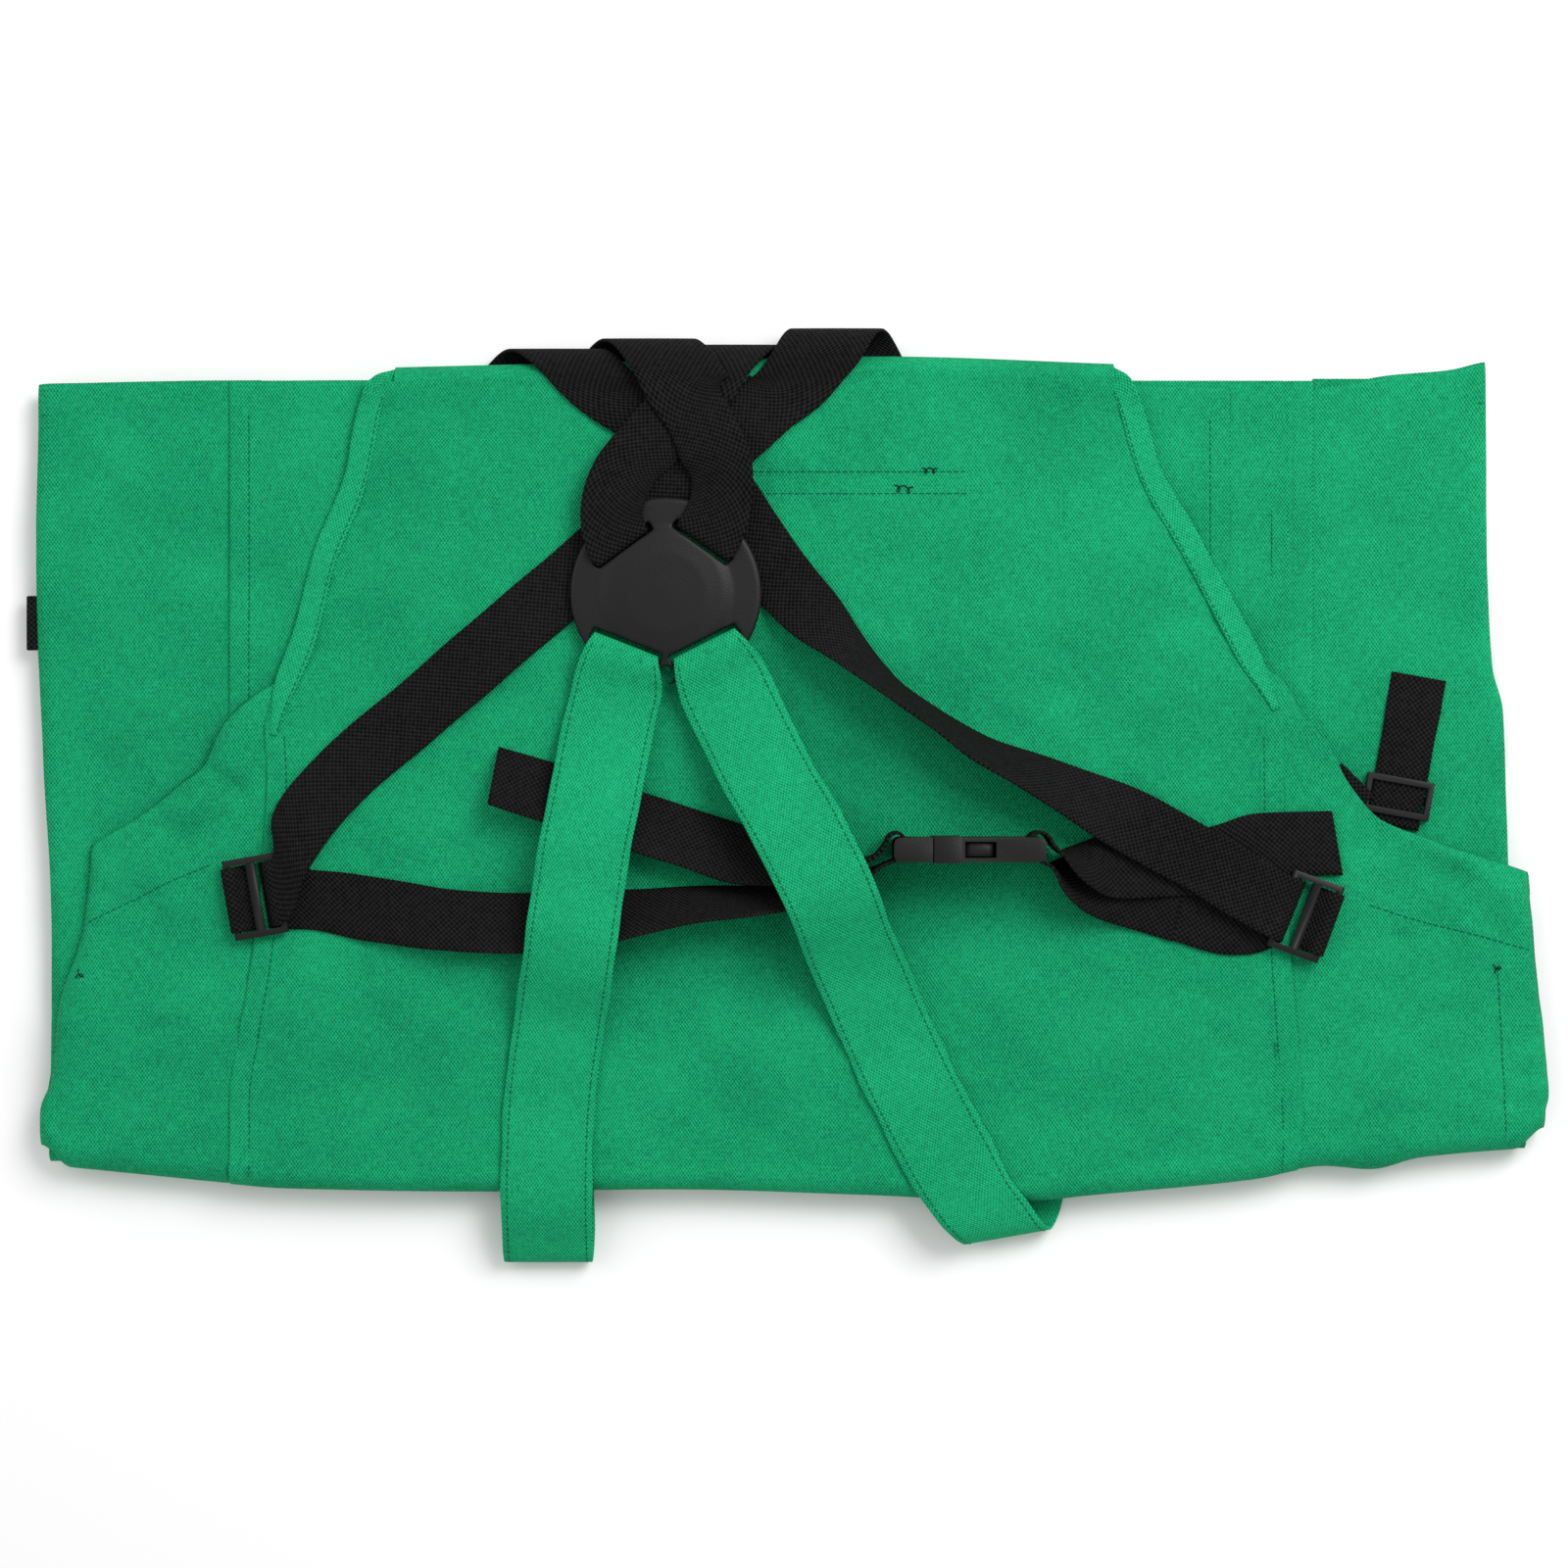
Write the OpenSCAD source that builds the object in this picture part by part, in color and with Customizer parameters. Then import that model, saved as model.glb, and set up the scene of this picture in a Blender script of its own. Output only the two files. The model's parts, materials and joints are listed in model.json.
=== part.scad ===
// Apron type fruit picking bag, folded in half at the middle of its pouch and laid on its back,
// with its harness laid across the front. X runs across the bag, Y from the fold up to the bib,
// Z up from the surface that it lies on. Millimetres.

/* [Cloth] */
// Thickness of the coated canvas
cloth = 0.8; // [0.6:0.1:0.8]
// Thickness of a shoulder band, which is canvas folded over a filler
band_t = 2; // [1.5:0.1:2]
// Width of a shoulder band
band_w = 42; // [38:1:43]
// Height of the front panel's outer face above the floor
top_z = 22; // [22:0.5:23]

/* [Webbing] */
// Width of the harness webbing
web_w = 30; // [25:1:30]
// Thickness of the harness webbing
web_t = 1.6; // [1.2:0.1:1.6]
// Thickness of the webbing of the side loops
loop_t = 1.2; // [1:0.1:1.2]
// Width of the mouth closing webbing
tab_w = 25; // [20:1:25]

/* [Hardware] */
// Radius of the cross back disc
disc_r = 44; // [42:0.5:45]
// Length of a strap adjuster along its bars
adjuster_l = 37; // [37:0.5:40]
// Breadth of a strap adjuster across its bars
adjuster_b = 25; // [25:0.5:26]
// Thickness of a strap adjuster
adjuster_t = 3.2; // [3:0.1:3.2]
// Width of the waist buckle
buckle_w = 38; // [37:0.5:38]
// Thickness of the waist buckle
buckle_t = 12; // [11:0.5:12]

/* [Hidden] */

green = "#11995c";
band_green = "#16a263";
black = "#1c1b1c";
plastic = "#202122";

eps = 0.01;
gap = 0.2;
round_fn = 48;

// heights of the plies, each the underside of its cloth
front_z = top_z - cloth;
gusset_front_z = front_z - cloth - 0.1;
overlay_z = 14.2;
back_upper_z = 13.3;
gusset_back_z = 12.4;
back_lower_z = 11.4;
front_lower_z = 4.6;
flap_z = 3;
gusset_lower_back_z = 5;

// the bag's edges in Y
top_y = 203;
flap_end_y = 60;
fold_y = -183;
hem_y = 190;

// centre height of webbing that lies flat on the front, and the rise of each strap crossed
lay = top_z + gap + web_t / 2;
level = web_t + gap;

// the cross back disc
disc_at = [-55, 93];
disc_z = top_z + 2 * level + 0.4;
rim_t = 3;
over_rim = disc_z + rim_t + gap + web_t / 2;

// the waist buckle stands on its edge, so its width is along Z
buckle_y = -24;
buckle_z = top_z + gap + buckle_w / 2;
plug_x = 48.6;
plug_end_x = 66;
socket_x = 66.6;
window_x0 = 80.5;
window_x1 = 94.5;
socket_end_x = 117;
bar_r = 1.7;
cheek_z = web_w / 2 + 0.5;
channel_z = 16.5;
channel_y = 3.6;
arm_pivot = [62, 11];
arm_root_r = 2;
pivot_clear = 0.08;

// the strap adjusters: place of the centre and turn about Z
left_adjuster_at = [-243, -46];
left_adjuster_turn = 10;
right_adjuster_at = [238, -55];
right_adjuster_turn = 160;
adjuster_z = 26.1;
bar_u = adjuster_b / 2 - 1.6;
round_bar_r = 1.6;

// the mouth closing tab on the right, and its slider
tab_top = [292, 55.3];
tab_end = [279.5, -14];
tab_along = (tab_top - tab_end) / norm(tab_top - tab_end);
tab_turn = atan2(tab_along[1], tab_along[0]) - 90;
tab_z = 15.4;
slider_on_tab = 14;
slider_l = 31;
slider_b = 18;

// ---- outlines, seen from above ----

bib_left = [[-187, 193.5], [-193, 188], [-203, 146], [-217, 111], [-226, 75], [-236, 47], [-240, 29]];
bib_right = [[155, 193.5], [160, 188], [172, 150], [188, 122], [204, 92], [217, 66], [229, 42]];
left_seam = [[-239, 10], [-242, -40], [-246, -75], [-252, -112], [-256, -140], [-256, -175.5]];
right_seam = [[229, -8], [231, -50], [233, -82], [237, -135], [238, -158], [236, -175.5]];
left_mouth = [[-241, 49], [-258, 34], [-268, 14], [-277, 7], [-294, -7], [-320, -23]];
left_edge = [[-320, -24], [-324, -60], [-335, -97], [-338, -131], [-344, -160], [-342, -166.5]];
right_mouth = [[228, 54], [238, 37], [249, 24], [258, 6.5], [274, -11], [300, -21], [342, -35]];
right_edge = [[342, -36], [346, -80], [350, -117], [351.5, -150], [350, -158]];
left_back_edge = [[-345, 190], [-346, 96], [-343, 19], [-339, -60], [-340, -163]];
right_back_edge = [[323, 201], [323.5, 118], [326, 60], [331, 39], [334, -40], [342, -157]];

function reversed(list) = [for (i = [len(list) - 1:-1:0]) list[i]];
function moved(list, by) = [for (p = list) p + by];

// ---- cloth helpers ----

// one flat ply of cloth
module ply(outline, z, t = cloth) {
    translate([0, 0, z])
        linear_extrude(t)
            polygon(outline);
}

// the half round of a fold that runs along X and joins two plies; side 1 faces +Y
module fold(x0, x1, tip_y, low_z, high_z, side = -1) {
    r = (high_z - low_z) / 2;
    translate([x0, tip_y - side * r, low_z + r])
        rotate([0, 90, 0])
            difference() {
                cylinder(r = r, h = x1 - x0, $fn = round_fn);
                translate([0, 0, -1])
                    cylinder(r = r - cloth, h = x1 - x0 + 2, $fn = round_fn);
                translate([-r - 1, side > 0 ? -r - 1 : eps, -1])
                    cube([2 * r + 2, r + 1, x1 - x0 + 2]);
            }
}

// an upright wall of cloth that follows a line of points, at a ply's outer edge
module wall(line, low_z, high_z, inward) {
    translate([0, 0, low_z])
        linear_extrude(high_z - low_z)
            polygon(concat(line, reversed(moved(line, [inward, 0]))));
}

// ---- webbing helpers ----
// A station of a strap is [x, y, z, bearing, tilt, width]: the place of its middle, where its
// width points in plan, how far that direction tilts up from level, and how wide the strap is.

function spot(s) = [s[0], s[1], s[2]];
function unit(v) = v / norm(v);
function heading(route, i) =
    unit(spot(route[min(i + 1, len(route) - 1)]) - spot(route[max(i - 1, 0)]));
function across(s) = [cos(s[3]) * cos(s[4]), sin(s[3]) * cos(s[4]), sin(s[4])];
function section(route, i, t) =
    let (p = spot(route[i]))
    let (c = cross(heading(route, i), across(route[i])))
    let (w = across(route[i]) * route[i][5] / 2)
    let (n = unit(c) * t / 2)
    [p - w - n, p + w - n, p + w + n, p - w + n];

// more stations between those of a route, on a smooth curve through them that never passes the
// height, tilt or width of the two on either side
steps = 3;
function step_between(route, i) = norm(spot(route[i + 1]) - spot(route[i]));
function slope(route, i) = (route[i + 1] - route[i]) / step_between(route, i);
function tangent(route, i) =
    i == 0 ? slope(route, 0) :
    i == len(route) - 1 ? slope(route, i - 1) :
    let (a = step_between(route, i - 1))
    let (b = step_between(route, i))
    (slope(route, i - 1) * b + slope(route, i) * a) / (a + b);
function held(v, a, b) = max(min(a, b), min(max(a, b), v));
function on_curve(route, i, f) =
    let (d = step_between(route, i))
    route[i] * (1 + 2 * f) * (1 - f) * (1 - f) + tangent(route, i) * d * f * (1 - f) * (1 - f)
        + route[i + 1] * f * f * (3 - 2 * f) - tangent(route, i + 1) * d * f * f * (1 - f);
function between(route, i, f) =
    let (p = on_curve(route, i, f))
    [for (k = [0:5]) k == 2 || k > 3 ? held(p[k], route[i][k], route[i + 1][k]) : p[k]];
function smooth(route) =
    [for (i = [0:len(route) - 2]) for (k = [0:steps - 1]) between(route, i, k / steps),
     route[len(route) - 1]];

// a strap as one closed solid with a rectangular section at each station
module ribbon(rough, t) {
    route = smooth(rough);
    n = len(route);
    points = [for (i = [0:n - 1]) each section(route, i, t)];
    sides = [for (i = [0:n - 2]) for (k = [0:3])
        let (a = 4 * i + k)
        let (b = 4 * i + (k + 1) % 4)
        each k == 2 ? [[b, a, a + 4], [b, a + 4, b + 4]] : [[a, a + 4, b + 4], [a, b + 4, b]]];
    last = 4 * n - 4;
    caps = [[0, 1, 2], [0, 2, 3], [last, last + 2, last + 1], [last, last + 3, last + 2]];
    polyhedron(points = points, faces = concat(sides, caps));
}

// webbing whose lower edge rests on the front panel, or on the straps already there
function on_front(x, y, bearing, tilt = 0, over = 0) =
    [x, y, lay + over * level + (web_w / 2 + 0.4) * sin(tilt), bearing, tilt, web_w];

// webbing standing on its edge beside the buckle
function on_edge(x, y) = [x, y, buckle_z, -90, 90, web_w];

// webbing carried slantwise round the top edge: turn is 0 at the front and 180 behind, x the
// place where it rounds the edge, way its travel along X, and bulge how far it stands off
edge_r = (top_z - flap_z) / 2 + 0.4 + web_t / 2;
edge_y = top_y - (top_z - flap_z) / 2;
edge_z = (top_z + flap_z) / 2;
function round_edge(x, way, turn, out, rise, bulge) =
    let (r = edge_r + rise * (1 - turn / 180) + bulge * pow(sin(turn), 2))
    [x + way * out * edge_r * (turn - 90) * PI / 180,
     edge_y + r * sin(turn), edge_z + r * cos(turn), out > 0 ? 0 : -180 * way, 0,
     web_w / sin(45)];
function over_top(x, way, rise, bulge) =
    [for (turn = [0:15:180]) round_edge(x, way, turn, 1, rise, bulge)];
function back_over(x, way, bulge) =
    [for (turn = [180:-15:0]) round_edge(x, way, turn, -1, 0, bulge)];

// the flat turn that the webbing makes behind the bag, between two slanting runs
turn_run = 62;
function turn_behind(x_out, x_back) =
    let (s = sign(x_back - x_out))
    let (reach = edge_r * PI / 2)
    let (a = [x_out + s * reach, edge_y])
    let (b = [x_back + s * reach, edge_y])
    let (r = norm(b - a) * sin(45) / 2)
    let (c = a + turn_run * [s, -1] * sin(45) + r * [s, 1] * sin(45))
    [for (k = [0:30:180])
        let (w = s > 0 ? 225 + k : -45 - k)
        [c[0] + r * cos(w), c[1] + r * sin(w), edge_z - edge_r, s * (k + 45), 0, 2 * r - 1.5]];

// ---- routes of the straps, along the middle of the webbing ----

left_shoulder_route = concat(
    [
        [-74.8, 113.3, disc_z + 0.9, 36, 0, web_w - 3],
        [-75.1, 113.8, disc_z + 4.3, 36, 0, web_w - 2],
        [-77.5, 118, over_rim + 1.8, 34, 0, web_w],
        [-79, 132, over_rim + 1.6, 12, -4, web_w],
        [-74, 148, over_rim - 0.2, -18, -12, web_w],
        [-63, 161, over_rim - 2, -38, -6, web_w],
        [-50, 176, lay + 2 * level, -43, 0, web_w]
    ],
    over_top(-21, 1, 2 * level, 1.5),
    turn_behind(-21, 24),
    back_over(24, -1, 11),
    [
        on_front(-8, 180, 134),
        on_front(-22, 168, 132, 0, 1),
        on_front(-66, 127, 131, 0, 1),
        on_front(-92, 105, 130),
        on_front(-168, 40, 131),
        on_front(-205, 8, 134),
        [-219, -8, lay + 1.2, 135, 0, web_w],
        [-228, -24, lay + 4.2, 120, 0, web_w],
        [-230.5, -40, lay + 6, 106, 0, web_w],
        [-233.2, -44.3, lay + 6, 100, 0, web_w],
        [-236.4, -44.9, lay + 4.6, 100, 0, web_w],
        [-237.6, -45.1, lay + 2.4, 100, 0, web_w]
    ]);

right_shoulder_route = concat(
    [
        [-38, 115.7, disc_z + 0.9, -35, 0, web_w - 3],
        [-37.7, 116.2, disc_z + 4.3, -35, 0, web_w - 2],
        [-34.4, 121, over_rim + 1.3, -34, 0, web_w],
        [-29.5, 136, over_rim + 0.8, -12, 8, web_w],
        [-29.5, 149, over_rim + 1.4, 14, 14, web_w],
        [-35, 162, over_rim + 1, 30, 6, web_w],
        [-42, 177, lay + 3.4 * level, 38, 0, web_w]
    ],
    over_top(-65, -1, 3.4 * level, 3),
    turn_behind(-65, -107),
    back_over(-107, 1, 1.6),
    [
        on_front(-63, 174.5, -131),
        on_front(-30, 140, -133),
        on_front(-1, 98.5, -138),
        on_front(10, 86, -138, 20),
        on_front(24, 72, -136, 46),
        on_front(50, 48, -132, 72),
        on_front(70, 34, -124, 72),
        on_front(88, 22, -116, 64),
        on_front(112, 11, -114, 54),
        on_front(136, -0.5, -120, 32, 0.6),
        on_front(157, -11, -124, 12, 1.6),
        on_front(175, -21, -122, 5, 2.8),
        on_front(193, -31, -120, 0, 3.2),
        on_front(212, -42.5, -117, 0, 3.4),
        [225.5, -50.2, lay + 6.8, -113, 0, web_w],
        [228.6, -51.5, lay + 6.3, -112, 0, web_w],
        [231.2, -52.6, lay + 4.4, -112, 0, web_w],
        [232.2, -53, lay + 2.4, -112, 0, web_w]
    ]);

left_waist_route = [
    on_front(-239.6, -45.4, -80),
    on_front(-226, -46.5, -82),
    on_front(-189, -52, -84),
    on_front(-150, -57, -88, 20),
    on_front(-117, -58, -91, 25),
    on_front(-94, -56.5, -92, 28),
    on_front(-73, -54, -94, 42),
    on_front(-43, -49.5, -92, 58),
    on_front(-10, -47, -86, 66),
    on_front(20, -41.5, -76, 74),
    on_front(35, -36, -72, 82, 0.8),
    on_edge(43, -31.6),
    on_edge(50, -28.2),
    on_edge(53.4, -25.6)
];

left_tail_route = [
    on_edge(54, -22.2),
    on_edge(53.4, -18.6),
    on_edge(50.6, -16.4),
    on_edge(47.2, -17.4),
    on_edge(44.6, -22.2),
    on_edge(40, -27.2),
    on_front(30, -30, -96, 82, 0.8),
    on_front(18, -31.2, -100, 68),
    on_front(-1, -30.4, -104, 46),
    on_front(-20, -27, -107, 30),
    on_front(-45, -19, -108, 25),
    on_front(-70, -11, -108, 25),
    on_front(-100, -1, -107, 25),
    on_front(-134, 9.5, -99, 25)
];

right_waist_route = [
    on_front(232.4, -53.1, -112),
    on_front(222, -57, -105),
    on_front(206, -58, -97),
    on_front(180, -51.5, -101),
    on_front(165, -47.5, -104),
    on_front(150, -43, -106, 12),
    on_front(137, -38.6, -108, 35),
    on_front(126, -34, -106, 64),
    on_edge(119, -31),
    on_edge(114, -28.4),
    on_edge(110.6, -25.4)
];

right_tail_route = [
    on_edge(109.6, -22.2),
    on_edge(110.4, -18.6),
    on_edge(113.6, -16.2),
    on_edge(117.6, -17.2),
    on_edge(120.4, -21.4),
    on_edge(124, -25.2),
    on_front(130, -27.6, -100, 72, 1),
    on_front(140, -30, -97, 42, 1),
    on_front(150, -31.5, -94, 14, 1.2),
    on_front(168, -31.5, -90, 4, 1),
    on_front(199, -28.5, -84, 0, 1),
    on_front(214, -23.8, -84, 0, 0.4),
    on_front(230, -22, -84),
    on_front(253, -21.5, -80)
];

// a shoulder band runs from the disc down the front, round the fold and up behind to the bib's
// flap; it humps over the waist straps
band_lay = top_z + gap + band_t / 2;
band_under = flap_z - 0.1 - band_t / 2;
left_band_route = [
    [-73.2, 68.8, disc_z + 0.9, -21.3, 0, band_w - 10],
    [-73.4, 68.2, disc_z + 4.8, -21.3, 0, band_w - 10],
    [-74.4, 63.3, over_rim + 2, -20, 0, band_w - 6],
    [-77, 50, over_rim - 1.4, -13, 0, band_w],
    [-81, 33, band_lay + 4, -11, 0, band_w],
    [-88, -5, band_lay + 13.5, -10, 0, band_w],
    [-91, -20, band_lay + 16, -9, 0, band_w],
    [-94, -40, band_lay + 17.5, -9, 0, band_w],
    [-97, -62, band_lay + 21.2, -8, 0, band_w],
    [-99, -76, band_lay + 18, -7, 0, band_w],
    [-104, -106, band_lay + 3, -5, 0, band_w],
    [-108, -135, band_lay, -3, 0, band_w],
    [-110, -181, band_lay, -1, 0, band_w],
    [-110, -194, band_lay - 2.5, 0, 0, band_w],
    [-110, -205, band_lay - 8, 0, 0, band_w],
    [-110, -213, band_lay - 13, 0, 0, band_w],
    [-110, -215, 6.4, 0, 0, band_w],
    [-110, -212, 2.6, 0, 0, band_w],
    [-110, -205, band_under, 0, 0, band_w],
    [-108, -120, band_under, 1, 0, band_w],
    [-100, 0, band_under, 4, 0, band_w],
    [-95, 84, band_under, 4, 0, band_w]
];
right_band_route = [
    [-37.1, 69.3, disc_z + 0.9, 26.6, 0, band_w - 10],
    [-36.9, 68.8, disc_z + 4.8, 26.6, 0, band_w - 10],
    [-34.8, 64.4, over_rim + 2, 26, 0, band_w - 6],
    [-29, 52, over_rim - 0.6, 26, 0, band_w],
    [-20, 33, band_lay + 10, 27, 0, band_w],
    [-6, 5, band_lay + 21, 28, 0, band_w],
    [5, -14, band_lay + 29.5, 29, 0, band_w],
    [12, -28, band_lay + 34.5, 28, 0, band_w],
    [18, -40, band_lay + 34.9, 27, 0, band_w],
    [23, -52, band_lay + 30, 26, 0, band_w],
    [28, -66, band_lay + 20, 25, 0, band_w],
    [36, -84, band_lay + 8, 24, 0, band_w],
    [44, -103, band_lay + 1, 25, 0, band_w],
    [53, -123, band_lay, 26, 0, band_w],
    [76, -168, band_lay, 28, 0, band_w],
    [86, -185, band_lay, 24, 0, band_w - 2],
    [94, -195, band_lay - 3, 18, 0, band_w - 2],
    [99, -201, band_lay - 8, 12, 0, band_w - 2],
    [102, -203, band_lay - 13, 10, 0, band_w - 2],
    [104, -202, 5.4, 9, 0, band_w - 2],
    [106, -196, 2.6, 8, 0, band_w],
    [108, -188, band_under, 6, 0, band_w],
    [112, -120, band_under, 0, 0, band_w],
    [102, 0, band_under, -4, 0, band_w],
    [94, 84, band_under, -4, 0, band_w]
];

// ---- panels ----

module front_panel() {
    color(green) {
        ply(concat(bib_left, left_seam, reversed(right_seam), reversed(bib_right)), front_z);
        fold(-180, 151, top_y, flap_z, top_z, 1);
        translate([-180, flap_end_y, flap_z])
            cube([331, edge_y - flap_end_y + eps, cloth]);
        fold(-256, 236, fold_y, front_lower_z, top_z);
        translate([-240, fold_y + (top_z - front_lower_z) / 2 - eps, front_lower_z])
            cube([470, hem_y + 5 - fold_y - (top_z - front_lower_z) / 2, cloth]);
    }
}

module back_panel() {
    tip = -165;
    r = (back_upper_z + cloth - back_lower_z) / 2;
    color(green) {
        for (p = [[back_upper_z, hem_y - 2], [back_lower_z, hem_y + 2]]) {
            translate([-240, tip + r - eps, p[0]])
                cube([465, p[1] - tip - r, cloth]);
            translate([225 - eps, -155, p[0]])
                cube([18, p[1] + 155, cloth]);
        }
        fold(-240, 225, tip, back_lower_z, back_upper_z + cloth);
    }
}

module back_overlay() {
    color(green)
        translate([-257, -165, overlay_z])
            cube([462, 356, cloth]);
}

module strap_anchor_patch() {
    color(green)
        translate([-86, 134, front_z - 0.8])
            cube([171, 20, 0.7]);
}

module left_gusset() {
    mid_y = -176 + (gusset_front_z + cloth) / 2;
    inner_y = -168 + (gusset_back_z + cloth - gusset_lower_back_z) / 2;
    step_x = -262;
    seam_x = -242;
    color(green) {
        ply(concat(left_mouth, left_edge, [[-247, mid_y - eps], [-247, -140], [-243, -112],
            [-237, -75], [-233, -40], [-230, 10], [-231, 44]]), gusset_front_z);
        fold(-341, -257, -176, 0, gusset_front_z + cloth);
        wall(left_edge, gusset_back_z, gusset_front_z + cloth, cloth);
        ply(concat(left_back_edge, [[-340, inner_y - eps], [seam_x, inner_y - eps], [seam_x, hem_y]]),
            gusset_back_z);
        fold(-339, step_x, -168, gusset_lower_back_z, gusset_back_z + cloth);
        ply(concat(left_back_edge, [[-340, inner_y - eps], [step_x, inner_y - eps], [step_x, hem_y]]),
            gusset_lower_back_z);
        wall([[step_x - cloth, hem_y], [step_x - cloth, inner_y]],
            gusset_lower_back_z, back_lower_z + cloth, cloth);
        translate([step_x - cloth, inner_y, back_lower_z])
            cube([seam_x - step_x + cloth, hem_y - inner_y, cloth]);
        ply(concat(left_back_edge, [[-340, mid_y - eps], [seam_x, mid_y - eps], [seam_x, hem_y]]), 0);
        wall([[seam_x - cloth, hem_y], [seam_x - cloth, mid_y]], 0, front_lower_z + cloth, cloth);
        wall(left_back_edge, 0, gusset_lower_back_z + cloth, cloth);
    }
}

module right_gusset() {
    mid_y = -170 + (gusset_front_z + cloth) / 2;
    inner_y = -162 + (gusset_back_z + cloth - gusset_lower_back_z) / 2;
    step_x = 268;
    seam_x = 245;
    under_x = 233;
    color(green) {
        ply(concat(right_mouth, right_edge, [[349, mid_y - eps], [227, mid_y - eps], [229, -150], [227, -120],
            [223, -82], [221, -50], [219, -8], [219, 40]]), gusset_front_z);
        fold(239, 349, -170, 0, gusset_front_z + cloth);
        wall(right_edge, gusset_back_z, gusset_front_z + cloth, -cloth);
        ply(concat([[under_x, 187], [243, 188], [279, 194]], right_back_edge,
            [[342, inner_y - eps], [under_x, inner_y - eps]]), gusset_back_z);
        fold(step_x, 341, -162, gusset_lower_back_z, gusset_back_z + cloth);
        ply(concat([[step_x, 192]], right_back_edge, [[step_x, inner_y - eps]]),
            gusset_lower_back_z);
        wall([[step_x + cloth, 192], [step_x + cloth, inner_y]],
            gusset_lower_back_z, back_lower_z + cloth, -cloth);
        translate([seam_x, inner_y, back_lower_z])
            cube([step_x - seam_x + cloth, 192 - inner_y, cloth]);
        ply(concat([[seam_x, 195]], right_back_edge, [[342, mid_y - eps], [seam_x, mid_y - eps]]), 0);
        wall([[seam_x + cloth, 195], [seam_x + cloth, mid_y]], 0, front_lower_z + cloth, -cloth);
        wall(right_back_edge, 0, gusset_lower_back_z + cloth, -cloth);
    }
}

// bias binding along one curved edge of the bib
module binding(edge, inward) {
    color(band_green)
        ply(concat(edge, reversed(moved(edge, [inward, 0]))), top_z);
}

module left_binding() binding([for (i = [1:len(bib_left) - 1]) bib_left[i]], 11);
module right_binding() binding([for (i = [1:len(bib_right) - 1]) bib_right[i]], -11);

// ---- straps ----

module left_shoulder_band() color(band_green) ribbon(left_band_route, band_t);
module right_shoulder_band() color(band_green) ribbon(right_band_route, band_t);
module left_shoulder_webbing() color(black) ribbon(left_shoulder_route, web_t);
module right_shoulder_webbing() color(black) ribbon(right_shoulder_route, web_t);
module left_waist_strap() color(black) ribbon(left_waist_route, web_t);
module left_strap_tail() color(black) ribbon(left_tail_route, web_t);
module right_waist_strap() color(black) ribbon(right_waist_route, web_t);
module right_strap_tail() color(black) ribbon(right_tail_route, web_t);

// a loop sewn at the seam that goes under the adjuster, round its outer bar and back; lengths are
// across the adjuster from its middle, then height
module side_loop(at, turn) {
    bend = round_bar_r + 0.15 + loop_t / 2;
    lower = top_z + 0.1 + loop_t / 2;
    upper = lower + loop_t + 0.25;
    line = concat(
        [[1.5, lower], [-6, lower]],
        [for (a = [-60:-30:-270]) [-bar_u + bend * cos(a), adjuster_z + bend * sin(a)]],
        [[-8.6, adjuster_z + 1.6], [-6.8, adjuster_z], [-5.2, upper + 0.5], [-3.4, upper],
         [1.5, upper]]);
    color(black)
        ribbon([for (p = line)
            [at[0] + p[0] * cos(turn), at[1] + p[0] * sin(turn), p[1], turn + 90, 0, web_w]],
            loop_t);
}

module left_side_loop() side_loop(left_adjuster_at, left_adjuster_turn);
module right_side_loop() side_loop(right_adjuster_at, right_adjuster_turn);

module right_closure_strap() {
    color(black)
        ribbon([for (s = [[0, 0], [40, 0], [56, 0], [61, -1.2], [70.4, -1.2]])
            [tab_end[0] + tab_along[0] * s[0], tab_end[1] + tab_along[1] * s[0], tab_z + s[1],
             tab_turn, 0, tab_w]],
            web_t);
}

module right_closure_tail() {
    color(black)
        ribbon([for (s = [0, 8, 24])
            [246 + s * cos(45), -9 + s * sin(45), 19.2, -45, 0, tab_w - 4]], loop_t);
}

module left_closure_strap() {
    y = 80;
    upper = 9.7;
    lower = 6.7;
    bend = (upper - lower) / 2;
    loop_x = -351.5 + web_t / 2 + bend;
    color(black)
        ribbon(concat(
            [for (x = [-263.4, loop_x + 2, loop_x]) [x, y, upper, 90, 0, tab_w]],
            [for (a = [120:30:240])
                [loop_x + bend * cos(a), y, (upper + lower) / 2 + bend * sin(a), 90, 0, tab_w]],
            [for (x = [loop_x, loop_x + 2, -285]) [x, y, lower, 90, 0, tab_w]]),
            web_t);
}

// ---- hardware ----

// a strap slot cut through the disc: its inner edge lies at a distance from the middle
module disc_slot(bearing, inner, width, length, shift = 0) {
    rotate(bearing)
        translate([inner, shift - length / 2, -1])
            cube([width, length, 12]);
}

module cross_disc() {
    color(plastic)
        translate([disc_at[0], disc_at[1], disc_z])
            difference() {
                rotate_extrude($fn = 96)
                    polygon([[0, 0], [disc_r - 1, 0], [disc_r, 1], [disc_r, 2], [disc_r - 1.5, rim_t],
                        [31, rim_t + 0.2], [26.5, 4.6], [18, 5.6], [0, 6]]);
                for (s = [[125.7, 27, 3], [54.6, 26.5, 0]])
                    disc_slot(s[0], s[1], 4.2, web_w + 1, s[2]);
                disc_slot(248.7, 26.5, 5.6, band_w - 8.3, -8.1);
                disc_slot(296.6, 26.5, 5.6, band_w - 8.3, 5.2);
                // the lower rim is cut back outside its two slots, with a notch between them
                disc_slot(248.7, 38.4, 20, 2 * disc_r);
                disc_slot(296.6, 38.4, 20, 2 * disc_r);
                translate([0, -37.4, -1])
                    cylinder(r = 4, h = 12, $fn = 32);
            }
}

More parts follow.
